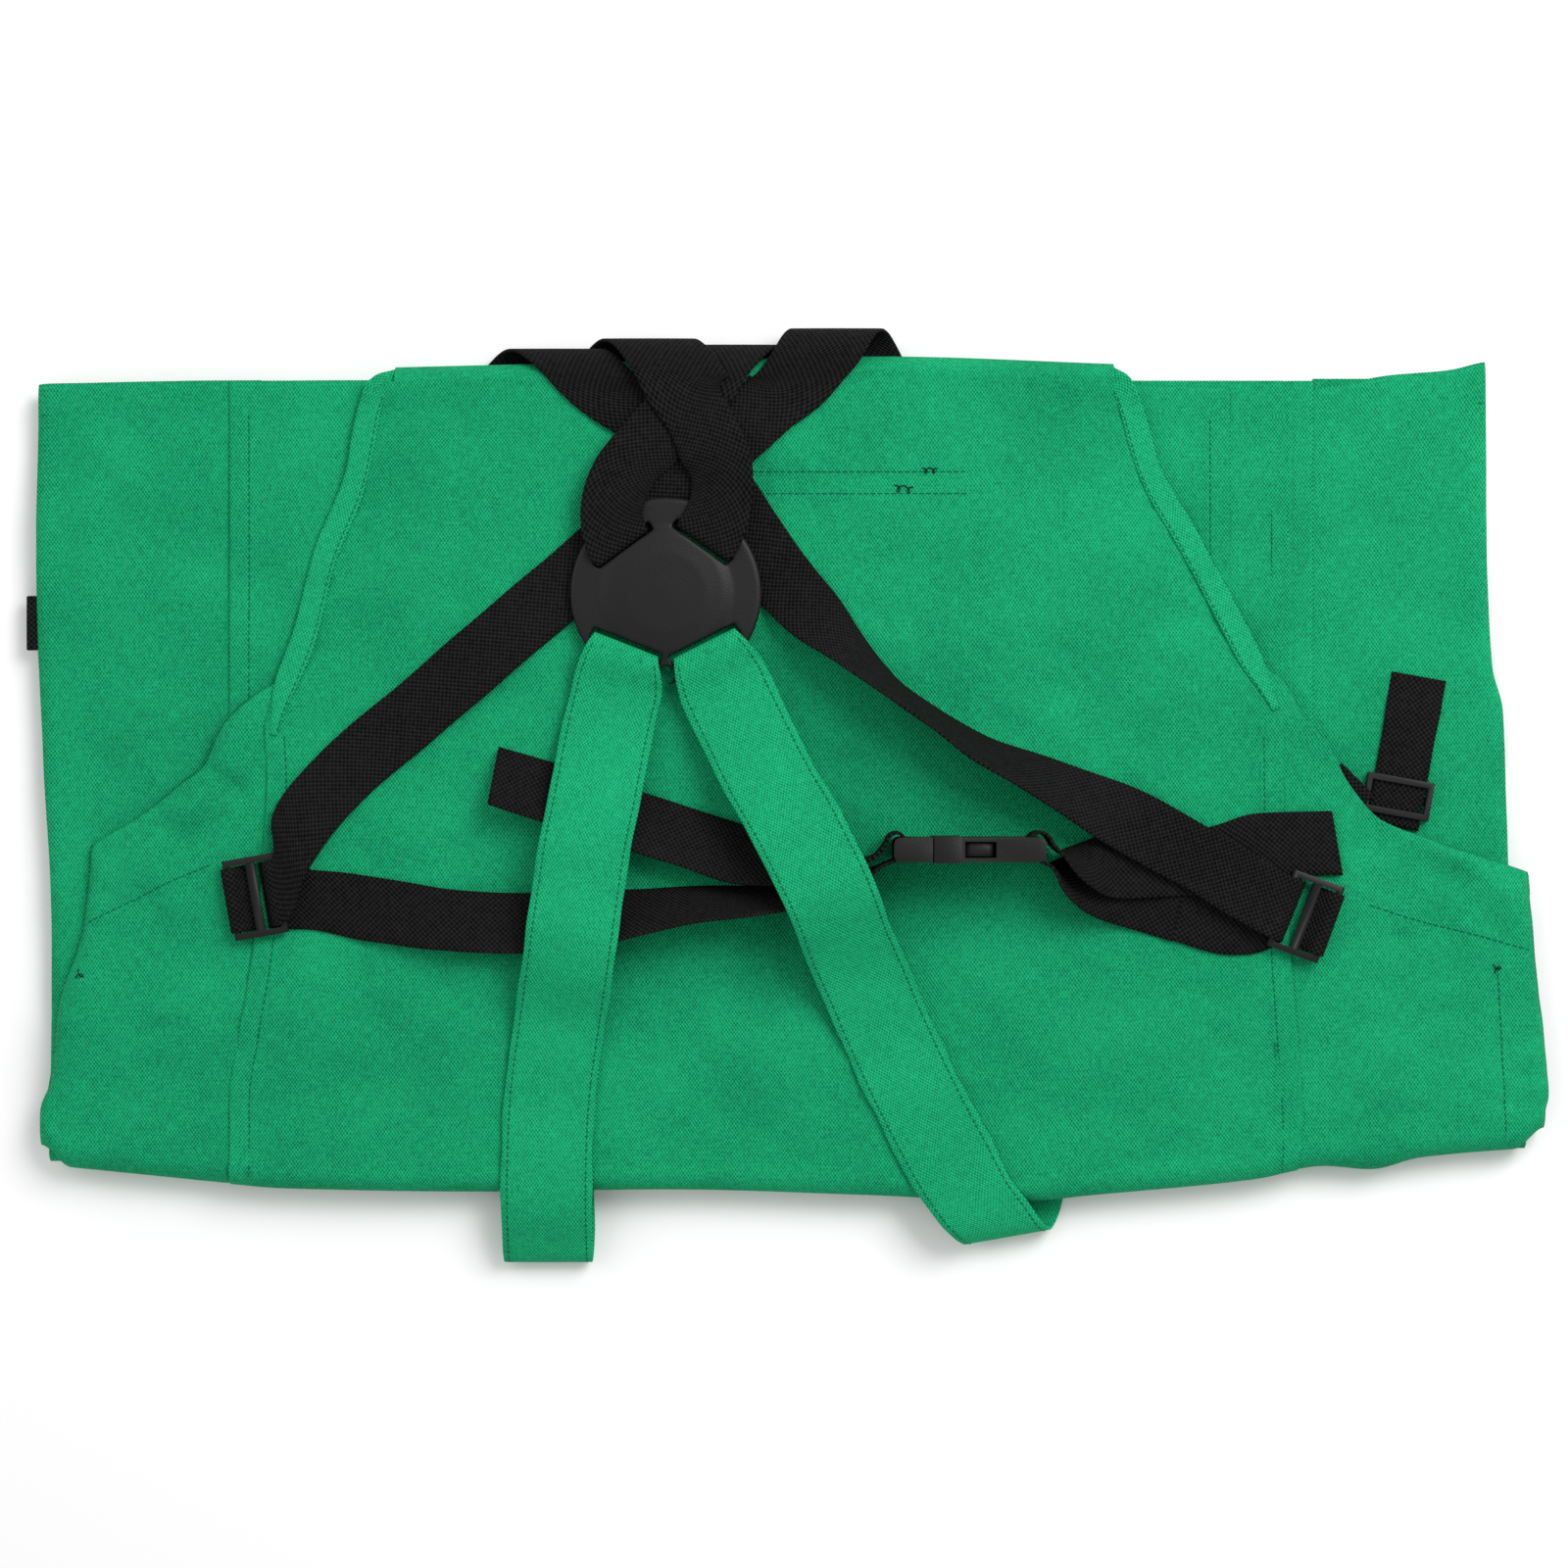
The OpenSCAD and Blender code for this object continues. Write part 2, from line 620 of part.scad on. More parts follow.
// a strap adjuster: a frame with a round bar on its outer side, a middle bar and an inner bar
module adjuster() {
    inner = web_w / 2 + 0.7;
    color(plastic) {
        difference() {
            union() {
                translate([-bar_u, -adjuster_l / 2, -adjuster_t / 2])
                    cube([2 * bar_u, adjuster_l, adjuster_t]);
                for (u = [-bar_u, bar_u])
                    translate([u, -adjuster_l / 2, 0])
                        rotate([-90, 0, 0])
                            cylinder(r = adjuster_t / 2, h = adjuster_l, $fn = 32);
            }
            translate([-bar_u - 3, -inner, -3])
                cube([2 * bar_u + 3 - 1.6, 2 * inner, 6]);
        }
        translate([-bar_u, -inner - 1, 0])
            rotate([-90, 0, 0])
                cylinder(r = round_bar_r, h = 2 * inner + 2, $fn = 32);
        translate([-2, -inner - 1, -1.2])
            cube([4, 2 * inner + 2, 2.4]);
    }
}

module left_adjuster()
    translate([left_adjuster_at[0], left_adjuster_at[1], adjuster_z])
        rotate(left_adjuster_turn)
            adjuster();

module right_adjuster()
    translate([right_adjuster_at[0], right_adjuster_at[1], adjuster_z])
        rotate(right_adjuster_turn)
            adjuster();

// a flat three bar slider; the strap lies over its middle bar and under its outer ones
module slider(strap_z, strap_w) {
    low = strap_z - web_t / 2 - 1.3;
    high = strap_z + web_t / 2 + 1.7;
    side = strap_w / 2 + 0.4;
    for (s = [-1, 1])
        translate([s > 0 ? side : -slider_l / 2, -slider_b / 2, low])
            cube([slider_l / 2 - side, slider_b, high - low]);
    for (s = [-1, 1])
        translate([-slider_l / 2, s > 0 ? slider_b / 2 - 3 : -slider_b / 2, high - 1.5])
            cube([slider_l, 3, 1.5]);
    translate([-slider_l / 2, -2, low])
        cube([slider_l, 4, 1.2]);
}

module right_closure_slider()
    color(plastic)
        translate([tab_end[0] + tab_along[0] * slider_on_tab,
                   tab_end[1] + tab_along[1] * slider_on_tab, 0])
            rotate(tab_turn)
                slider(tab_z, tab_w);

module left_closure_slider()
    color(plastic)
        translate([-305, 80, 0])
            rotate(90)
                slider(9.7, tab_w);

// half of the buckle's outline seen from its edge, as a plate cut by a rounded end
module buckle_block(x0, x1, half_z, half_y, end_r, ends) {
    intersection() {
        translate([x0, -half_y, -half_z])
            cube([x1 - x0, 2 * half_y, 2 * half_z]);
        union() {
            translate([x0 + (ends < 0 ? end_r : 0), -half_y, -half_z])
                cube([x1 - x0 - end_r, 2 * half_y, 2 * half_z]);
            for (s = [-1, 1])
                translate([ends < 0 ? x0 + end_r : x1 - end_r, s * (half_y - end_r), -half_z])
                    cylinder(r = end_r, h = 2 * half_z, $fn = 32);
            translate([x0, -half_y + end_r, -half_z])
                cube([x1 - x0, 2 * (half_y - end_r), 2 * half_z]);
        }
    }
}

// a strap opening through the block, with a round bar left standing at its outer side
module strap_opening(x0, x1, half_y) {
    translate([x0, -half_y - 1, -cheek_z])
        cube([x1 - x0, 2 * half_y + 2, 2 * cheek_z]);
}

module strap_bar(x)
    translate([x, 0, -cheek_z - 1])
        cylinder(r = bar_r, h = 2 * cheek_z + 2, $fn = 32);

module buckle_plug() {
    half_y = buckle_t / 2 - 0.5;
    color(plastic)
        translate([0, buckle_y, buckle_z]) {
            difference() {
                buckle_block(plug_x, plug_end_x, buckle_w / 2, half_y, 3, -1);
                strap_opening(plug_x - 1, 56.4, half_y);
                for (s = [-1, 1])
                    translate([arm_pivot[0], 0, s * arm_pivot[1]]) {
                        rotate([90, 0, 0])
                            cylinder(r = arm_root_r + pivot_clear, h = 20, center = true, $fn = 48);
                        translate([0, -10, -arm_root_r - 0.9])
                            cube([10, 20, 2 * arm_root_r + 1.8]);
                    }
            }
            strap_bar(50.3);
            // the guide tongue between the arms
            translate([plug_end_x - 1, -2.4, -3.5])
                cube([29, 4.8, 7]);
            translate([93, 0, -3.5])
                cylinder(r = 2.4, h = 7, $fn = 32);
        }
}

module buckle_socket() {
    half_y = buckle_t / 2;
    color(plastic)
        translate([0, buckle_y, buckle_z])
            difference() {
                union() {
                    translate([socket_x, -half_y, -buckle_w / 2])
                        cube([12.4, buckle_t, buckle_w]);
                    buckle_block(socket_x + 10, socket_end_x, buckle_w / 2 - 0.6, half_y - 0.4, 3.5, 1);
                }
                // channel for the plug, and the two side windows
                translate([socket_x - 1, -channel_y, -channel_z])
                    cube([97.5 - socket_x, 2 * channel_y, 2 * channel_z]);
                translate([window_x0, -channel_y, -buckle_w])
                    cube([window_x1 - window_x0, 2 * channel_y, 2 * buckle_w]);
                difference() {
                    strap_opening(106.4, socket_end_x + 1, half_y);
                    strap_bar(113.9);
                }
            }
}

// one spring arm of the plug, side 1 above and -1 below; it turns at its root
module latch_arm(side) {
    half_y = 3;
    px = arm_pivot[0];
    pz = arm_pivot[1];
    color(plastic)
        translate([0, buckle_y, buckle_z])
            mirror([0, 0, side > 0 ? 0 : 1]) {
                translate([px, 0, pz])
                    rotate([90, 0, 0])
                        cylinder(r = arm_root_r, h = 2 * half_y, center = true, $fn = 48);
                rotate([90, 0, 0])
                    translate([0, 0, -half_y])
                        linear_extrude(2 * half_y)
                            polygon([[px, pz - 1.5], [80, pz - 2], [91, pz - 2.6], [94.6, pz - 0.6],
                                [93.4, 14.6], [90, 16], [84, 16.2], [81, 15.4], [78, 13.4],
                                [72, pz + 1.6], [px, pz + 1.5]]);
            }
}

module latch_arm_upper() latch_arm(1);
module latch_arm_lower() latch_arm(-1);

// bar tacks and thread knots, as small raised bars of stitching
module thread_tacks() {
    color(black) {
        for (p = [[64, 150, 8], [50, 141, -12], [66, 141.5, 14]])
            translate([p[0], p[1], top_z])
                rotate(p[2])
                    translate([-4, -0.7, 0])
                        cube([8, 1.4, 0.7]);
        for (x = [-325, 327])
            translate([x - 0.8, -84, gusset_front_z + cloth])
                cube([1.6, 6, 0.7]);
    }
}

front_panel();
back_panel();
back_overlay();
strap_anchor_patch();
left_gusset();
right_gusset();
left_binding();
right_binding();
left_shoulder_band();
right_shoulder_band();
cross_disc();
left_shoulder_webbing();
right_shoulder_webbing();
left_waist_strap();
left_strap_tail();
right_waist_strap();
right_strap_tail();
left_side_loop();
right_side_loop();
left_adjuster();
right_adjuster();
buckle_plug();
buckle_socket();
latch_arm_upper();
latch_arm_lower();
right_closure_strap();
right_closure_slider();
right_closure_tail();
left_closure_strap();
left_closure_slider();
thread_tacks();
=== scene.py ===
"""Looks of the fruit picking bag: cloth, webbing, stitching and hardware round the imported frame.

Lengths are in millimetres until they become vertices, which are in metres.
"""

import json
import math

import bpy
import numpy as np
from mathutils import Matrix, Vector

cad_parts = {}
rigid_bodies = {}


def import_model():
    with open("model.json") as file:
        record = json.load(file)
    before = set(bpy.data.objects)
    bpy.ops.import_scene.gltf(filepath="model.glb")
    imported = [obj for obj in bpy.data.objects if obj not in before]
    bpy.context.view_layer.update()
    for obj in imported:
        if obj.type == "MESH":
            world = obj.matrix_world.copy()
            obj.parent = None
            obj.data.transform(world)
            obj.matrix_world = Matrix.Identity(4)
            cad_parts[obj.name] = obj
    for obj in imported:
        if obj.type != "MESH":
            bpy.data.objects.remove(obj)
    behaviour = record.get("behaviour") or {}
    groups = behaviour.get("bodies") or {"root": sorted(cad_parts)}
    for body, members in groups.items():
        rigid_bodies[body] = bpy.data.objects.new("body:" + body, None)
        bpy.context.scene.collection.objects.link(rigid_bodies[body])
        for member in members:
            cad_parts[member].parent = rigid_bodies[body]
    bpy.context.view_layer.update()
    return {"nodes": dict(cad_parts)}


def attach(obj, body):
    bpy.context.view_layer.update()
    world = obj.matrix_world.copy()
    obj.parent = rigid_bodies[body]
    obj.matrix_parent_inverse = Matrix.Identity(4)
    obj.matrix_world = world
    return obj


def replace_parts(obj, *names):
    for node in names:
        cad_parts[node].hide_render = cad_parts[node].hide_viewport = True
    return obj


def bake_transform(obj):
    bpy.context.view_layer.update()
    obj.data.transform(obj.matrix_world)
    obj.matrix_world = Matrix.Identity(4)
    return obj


MM = 0.001
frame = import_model()

# ---- sizes shared with the CAD part
CLOTH = 0.8
BAND_T, BAND_W = 2.0, 42.0
TOP_Z = 22.0
WEB_W, WEB_T, LOOP_T, TAB_W = 30.0, 1.6, 1.2, 25.0
GAP = 0.2
FLAP_Z, FRONT_LOWER_Z = 3.0, 4.6
TOP_Y, FOLD_Y, HEM_Y, FLAP_END_Y = 203.0, -183.0, 190.0, 60.0
OVERLAY_Z, BACK_UPPER_Z, BACK_LOWER_Z, GUSSET_BACK_Z = 14.2, 13.3, 11.4, 12.4
GUSSET_TOP_Z = 21.1
LAY = TOP_Z + GAP + WEB_T / 2
LEVEL = WEB_T + GAP
DISC_Z, RIM_T = TOP_Z + 2 * LEVEL + 0.4, 3.0
OVER_RIM = DISC_Z + RIM_T + GAP + WEB_T / 2
BUCKLE_Z = TOP_Z + GAP + 19.0
LEFT_ADJUSTER, LEFT_TURN = (-243.0, -46.0), 10.0
RIGHT_ADJUSTER, RIGHT_TURN = (238.0, -55.0), 160.0
ADJUSTER_Z, BAR_U, ROUND_BAR_R = 26.1, 10.9, 1.6
TAB_TOP, TAB_END, TAB_Z = (292.0, 55.3), (279.5, -14.0), 15.4
FOLD_LEFT, FOLD_RIGHT = -256.0, 236.0
BACK_LEFT, BACK_RIGHT, BACK_FOLD_Y = -240, 243, -165
OVERLAY_LEFT, OVERLAY_RIGHT = -257, 205
SEAM_STITCH = 9.5

BIB_LEFT = [(-180, 198), (-193, 188), (-203, 146), (-217, 111), (-226, 75), (-236, 47), (-240, 29)]
BIB_RIGHT = [(151, 199), (160, 188), (172, 150), (188, 122), (204, 92), (217, 66), (229, 42)]
LEFT_SEAM = [(-239, 10), (-242, -40), (-246, -75), (-252, -112), (-256, -140), (-256, -190)]
RIGHT_SEAM = [(229, -8), (231, -50), (233, -82), (237, -135), (238, -158), (236, -190)]
LEFT_MOUTH = [(-232, 53), (-241, 49), (-258, 34), (-268, 14), (-277, 7), (-294, -7), (-320, -23)]
LEFT_EDGE = [(-320, -23), (-324, -60), (-335, -97), (-338, -131), (-344, -160), (-344, -168)]
RIGHT_MOUTH = [(219, 60), (228, 54), (238, 37), (249, 24), (258, 6.5), (274, -11), (300, -21), (342, -35)]
RIGHT_EDGE = [(342, -35), (346, -80), (350, -117), (351.5, -150), (350, -160)]
LEFT_BACK = [(-345, 190), (-346, 96), (-343, 19), (-339, -60), (-340, -170)]
RIGHT_BACK = [(323, 201), (323.5, 118), (326, 60), (331, 39), (334, -40), (342, -165)]
BOTTOM = [(-346, -170), (-296, -175), (-256, -179), (-232, -181), (-145, -182.5), (-55, -181.5),
          (35, -184), (108, -187), (143, -184), (215, -177), (249, -171), (270, -172.5),
          (293, -167), (350, -162)]
BIB_TOP = [(-180, 198), (-113, 199.6), (46, 203), (151, 199.6)]


# ---- small maths helpers
def smoothstep(low, high, v):
    t = np.clip((np.asarray(v, float) - low) / (high - low), 0, 1)
    return t * t * (3 - 2 * t)


def fade(low, high, v):
    return 1 - smoothstep(low, high, v)


def rounded(d, reach):
    """The drop of a rounded edge: 1 at distance 0, 0 from reach inwards."""
    return 1 - np.sqrt(np.clip(1 - (1 - np.clip(d / reach, 0, 1)) ** 2, 0, 1))


def stack(*parts):
    """Coordinates joined into points; a single number counts for all of them."""
    return np.stack(np.broadcast_arrays(*parts), axis=-1)


def cos_sin(degrees):
    a = math.radians(degrees)
    return math.cos(a), math.sin(a)


def hermite(f, a, b, slope_a, slope_b):
    """A smooth step from a to b at share f, with the given slopes at both ends."""
    return (a * (1 + 2 * f) * (1 - f) ** 2 + slope_a * f * (1 - f) ** 2
            + b * f * f * (3 - 2 * f) - slope_b * f * f * (1 - f))


def unit(rows):
    return rows / np.linalg.norm(rows, axis=1)[:, None]


def curve(points, at, key=0):
    """The other coordinate of a listed outline at the given values of coordinate key."""
    pts = np.array(sorted(points, key=lambda p: p[key]), float)
    xs, ys = pts[:, key], pts[:, 1 - key]
    h = np.diff(xs)
    d = np.diff(ys) / h
    m = np.concatenate([[d[0]], np.zeros(len(d) - 1), [d[-1]]])
    same = d[:-1] * d[1:] > 0
    m[1:-1][same] = (2 * d[:-1] * d[1:] / (d[:-1] + d[1:] + 1e-12))[same]
    at = np.clip(np.asarray(at, float), xs[0], xs[-1])
    i = np.clip(np.searchsorted(xs, at) - 1, 0, len(h) - 1)
    f = (at - xs[i]) / h[i]
    return hermite(f, ys[i], ys[i + 1], m[i] * h[i], m[i + 1] * h[i])


def resample(points, n):
    """n points spaced evenly along a smooth line through the given ones."""
    pts = np.array(points, float)
    s = run_along(pts)
    at = np.linspace(0, s[-1], n)
    return np.stack([curve(list(zip(s, pts[:, k])), at) for k in range(pts.shape[1])], axis=-1)


def swell(x, y, scale, seed, waves=14):
    """Smooth noise of about unit size, made of a few random waves."""
    rng = np.random.default_rng(seed)
    total = 0
    for _ in range(waves):
        k = 2 * math.pi / (scale * rng.uniform(0.7, 1.8))
        a = rng.uniform(0, 2 * math.pi)
        total = total + np.cos(k * (x * math.cos(a) + y * math.sin(a)) + rng.uniform(0, 2 * math.pi))
    return total / math.sqrt(waves / 2)


def crease(x, y, p0, p1, width, height):
    """A soft ridge (height above 0) or valley (below) along the line from p0 to p1."""
    d = np.subtract(p1, p0)
    long = np.linalg.norm(d)
    d = d / long
    along = (x - p0[0]) * d[0] + (y - p0[1]) * d[1]
    off = (x - p0[0]) * -d[1] + (y - p0[1]) * d[0]
    ends = smoothstep(-0.15 * long, 0.25 * long, along) * fade(0.75 * long, 1.15 * long, along)
    return height * np.exp(-(off / width) ** 2) * ends


def creases(x, y, lines):
    return sum(crease(x, y, *line) for line in lines)


def run_along(points):
    """Distance along a line of points, from its start."""
    return np.concatenate([[0], np.cumsum(np.linalg.norm(np.diff(points, axis=0), axis=1))])


# ---- how the front lies
HARDWARE = [  # middle, reach that stays flat, fade
    ((-55, 93), 50, 25), ((-243, -46), 30, 25), ((238, -55), 32, 25), ((82, -24), 42, 20)]
BULGES = [  # x, y, reach across, reach along, height
    (-150, 120, 45, 50, 1.6), (-175, 20, 50, 35, -1.6), (-110, 20, 35, 45, 1.2),
    (90, 110, 60, 40, 1.8), (40, 40, 40, 30, -1.0), (150, 60, 50, 50, 1.5),
    (-180, -120, 50, 45, 1.6), (0, -120, 60, 40, 2.0), (170, -110, 50, 45, 1.4),
    (-60, -80, 35, 30, -1.2), (110, -150, 60, 20, -1.0), (200, 10, 40, 40, 1.0)]


def hardware_mask(x, y):
    mask = 1.0
    for (hx, hy), reach, fade in HARDWARE:
        mask = mask * smoothstep(reach, reach + fade, np.hypot(x - hx, y - hy))
    return mask


def front_left(y):
    return curve(BIB_LEFT + LEFT_SEAM, y, key=1)


def front_right(y):
    return curve(BIB_RIGHT + RIGHT_SEAM, y, key=1)


def swelling(x, y):
    """How far the front and all that lies on it stand above or below the flat panel."""
    h = 0.0
    for bx, by, rx, ry, height in BULGES:
        h = h + height * np.exp(-((x - bx) / rx) ** 2 - ((y - by) / ry) ** 2)
    edge = np.minimum(x - front_left(y), front_right(y) - x)
    settle = -4.6 * fade(-5, 65, edge) * smoothstep(35, 95, y) * fade(178, 197, y)
    h = h + 0.5 * swell(x, y, 90, 3) + settle
    return h * hardware_mask(x, y)


# ---- mesh helpers
def link_object(name, data):
    obj = bpy.data.objects.new(name, data)
    bpy.context.scene.collection.objects.link(obj)
    return obj


def shade_smooth(mesh):
    mesh.polygons.foreach_set("use_smooth", np.ones(len(mesh.polygons), bool))


def add_object(name, data, material, slot, body="bag"):
    obj = link_object(name, data)
    data.materials.append(material)
    if body:
        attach(obj, body)
    return obj


def grid_mesh(name, points, uv, flip=False):
    """A sheet of quads through an n by m net of points in millimetres."""
    n, m = points.shape[:2]
    i, j = np.meshgrid(np.arange(n - 1), np.arange(m - 1), indexing="ij")
    a = (i * m + j).ravel()
    quads = np.stack([a, a + 1, a + m + 1, a + m], axis=1)
    if flip:
        quads = quads[:, ::-1]
    mesh = bpy.data.meshes.new(name)
    mesh.vertices.add(n * m)
    mesh.vertices.foreach_set("co", (points * MM).astype(np.float32).ravel())
    mesh.loops.add(quads.size)
    mesh.loops.foreach_set("vertex_index", quads.astype(np.int32).ravel())
    mesh.polygons.add(len(quads))
    mesh.polygons.foreach_set("loop_start", np.arange(0, quads.size, 4, dtype=np.int32))
    shade_smooth(mesh)
    mesh.update(calc_edges=True)
    layer = mesh.uv_layers.new(name="cloth")
    layer.data.foreach_set("uv", uv.reshape(-1, 2)[quads.ravel()].astype(np.float32).ravel())
    return mesh


def cloth_sheet(name, points, uv, flip=False, thickness=CLOTH):
    obj = add_object(name, grid_mesh(name, points, uv, flip), canvas, "canvas")
    solid = obj.modifiers.new("cloth thickness", "SOLIDIFY")
    solid.thickness = thickness * MM
    solid.offset = -1
    return obj


def tube_mesh(name, rings, uv):
    """A closed skin through rings of points, with flat ends."""
    n, k = rings.shape[:2]
    faces = []
    for i in range(n - 1):
        for j in range(k):
            a, b = i * k + j, i * k + (j + 1) % k
            faces.append((a, b, b + k, a + k))
    faces += [tuple(range(k - 1, -1, -1)), tuple(range((n - 1) * k, n * k))]
    mesh = bpy.data.meshes.new(name)
    mesh.from_pydata((rings.reshape(-1, 3) * MM).tolist(), [], faces)
    shade_smooth(mesh)
    layer = mesh.uv_layers.new(name="cloth")
    index = np.zeros(len(mesh.loops), np.int32)
    mesh.loops.foreach_get("vertex_index", index)
    layer.data.foreach_set("uv", uv.reshape(-1, 2)[index].astype(np.float32).ravel())
    return mesh


# ---- straps, as in the CAD part
def fine_route(route, step):
    """More stations on a smooth curve through a route; height, tilt and width never overshoot."""
    r = np.array(route, float)
    gaps = np.linalg.norm(np.diff(r[:, :3], axis=0), axis=1)
    slope = np.diff(r, axis=0) / gaps[:, None]
    tangent = np.concatenate([slope[:1], (slope[:-1] * gaps[1:, None] + slope[1:] * gaps[:-1, None])
                              / (gaps[1:] + gaps[:-1])[:, None], slope[-1:]])
    out = []
    for i, d in enumerate(gaps):
        for f in np.arange(0, 1, 1 / max(2, math.ceil(d / step))):
            p = hermite(f, r[i], r[i + 1], tangent[i] * d, tangent[i + 1] * d)
            for k in (2, 4, 5):
                p[k] = np.clip(p[k], min(r[i, k], r[i + 1, k]), max(r[i, k], r[i + 1, k]))
            out.append(p)
    out.append(r[-1])
    return np.array(out)


def strap_frames(stations):
    place = stations[:, :3]
    ahead = unit(np.gradient(place, axis=0))
    b, t = np.radians(stations[:, 3]), np.radians(stations[:, 4])
    across = np.stack([np.cos(b) * np.cos(t), np.sin(b) * np.cos(t), np.sin(t)], axis=1)
    return place, across, unit(np.cross(ahead, across))


def strap_point(stations, side, lift):
    """Points along a strap at side (-1 to 1 of the half width) and lift along its normal."""
    place, across, normal = strap_frames(stations)
    half = stations[:, 5] / 2
    return place + across * (half * side)[:, None] + normal * lift


def settled(points):
    """Moves what lies on the front with the front's own swelling."""
    x, y, z = points[..., 0], points[..., 1], points[..., 2]
    rise = swelling(x, y) * smoothstep(14, 20, z)
    return stack(x, y, z + rise)


def ribbon(name, route, thickness, material, slot, body="bag", step=2.0, wave=0.25, seed=1):
    """A strap along a route, with rounded edges, a faint crown and a little uneven width."""
    stations = fine_route(route, step)
    place, across, normal = strap_frames(stations)
    run = run_along(place)
    half = stations[:, 5] / 2 + wave * swell(run, run * 0, 35, seed)
    e = thickness / 2
    flat = np.linspace(-1, 1, 13)
    section = [(s, 1.0, 1) for s in flat] + [(1.0, 0.55, 0), (1.0, 0.0, 0), (1.0, -0.55, 0)]
    section += [(s, -1.0, 1) for s in flat[::-1]] + [(-1.0, -0.55, 0), (-1.0, 0.0, 0), (-1.0, 0.55, 0)]
    rings, uv = [], []
    for s, b, inner in section:
        a = s * (half - e * 0.55) if inner else s * (half - e * (0.15 if b else 0))
        lift = e * b * (0.82 + 0.18 * (1 - s * s * 0.4) if inner else 1)
        rings.append(place + across * a[:, None] + normal * lift)
        uv.append(stack(a, run))
    rings = settled(np.stack(rings, axis=1))
    return add_object(name, tube_mesh(name, rings, np.stack(uv, axis=1)), material, slot, body)


def on_front(x, y, bearing, tilt=0, over=0):
    lift = (WEB_W / 2 + 0.4) * math.sin(math.radians(tilt))
    return [x, y, LAY + over * LEVEL + lift, bearing, tilt, WEB_W]


def on_edge(x, y):
    return [x, y, BUCKLE_Z, -90, 90, WEB_W]


def strap_route(*rows, width=WEB_W):
    """Whole stations (x, y, z, bearing, tilt, width) from short rows: a list may leave out a tilt of 0
    and the usual width, a pair stands on edge at the buckle and any other tuple is on_front's."""
    out = []
    for row in rows:
        if isinstance(row, list):
            out.append(row + [0, width][len(row) - 4:])
        else:
            out.append(on_edge(*row) if len(row) == 2 else on_front(*row))
    return out


EDGE_R = (TOP_Z - FLAP_Z) / 2 + 0.4 + WEB_T / 2
EDGE_Y = TOP_Y - (TOP_Z - FLAP_Z) / 2
EDGE_Z = (TOP_Z + FLAP_Z) / 2


def round_edge(x, way, turn, out, rise, bulge):
    """A station on the round path over the top edge; out is 1 going over it and -1 coming back."""
    a = math.radians(turn)
    r = EDGE_R + rise * (1 - turn / 180) + bulge * math.sin(a) ** 2
    return [x + way * out * EDGE_R * (a - math.pi / 2), EDGE_Y + r * math.sin(a),
            EDGE_Z + r * math.cos(a), 0 if out > 0 else -180 * way, 0, WEB_W * math.sqrt(2)]


def over_top(x, way, rise, bulge):
    return [round_edge(x, way, turn, 1, rise, bulge) for turn in range(0, 181, 15)]


def back_over(x, way, bulge):
    return [round_edge(x, way, turn, -1, 0, bulge) for turn in range(180, -1, -15)]


def turn_behind(x_out, x_back):
    """The hidden half turn behind the bib, from where a strap goes over to where it comes back."""
    run = 62
    s = math.copysign(1, x_back - x_out)
    reach = EDGE_R * math.pi / 2
    a = np.array([x_out + s * reach, EDGE_Y])
    b = np.array([x_back + s * reach, EDGE_Y])
    r = np.linalg.norm(b - a) * math.sin(math.pi / 4) / 2
    c = a + (run * np.array([s, -1]) + r * np.array([s, 1])) * math.sin(math.pi / 4)
    out = []
    for k in range(0, 181, 30):
        w = math.radians(225 + k if s > 0 else -45 - k)
        out.append([c[0] + r * math.cos(w), c[1] + r * math.sin(w), EDGE_Z - EDGE_R,
                    s * (k + 45), 0, 2 * r - 1.5])
    return out


left_shoulder_route = strap_route(
    [-74.8, 113.3, DISC_Z + 0.9, 36, 0, WEB_W - 3], [-75.1, 113.8, DISC_Z + 4.3, 36, 0, WEB_W - 2],
    [-77.5, 118, OVER_RIM + 1.8, 34], [-79, 132, OVER_RIM + 1.6, 12, -4],
    [-74, 148, OVER_RIM - 0.2, -18, -12], [-63, 161, OVER_RIM - 2, -38, -6],
    [-50, 176, LAY + 2 * LEVEL, -43], *over_top(-21, 1, 2 * LEVEL, 1.5), *turn_behind(-21, 24),
    *back_over(24, -1, 11), (-8, 180, 134), (-22, 168, 132, 0, 1), (-66, 127, 131, 0, 1),
    (-92, 105, 130), (-168, 40, 131), (-205, 8, 134), [-219, -8, LAY + 1.2, 135],
    [-228, -24, LAY + 4.2, 120], [-230.5, -40, LAY + 6, 106], [-233.2, -44.3, LAY + 6, 100],
    [-236.4, -44.9, LAY + 4.6, 100], [-237.6, -45.1, LAY + 2.4, 100])

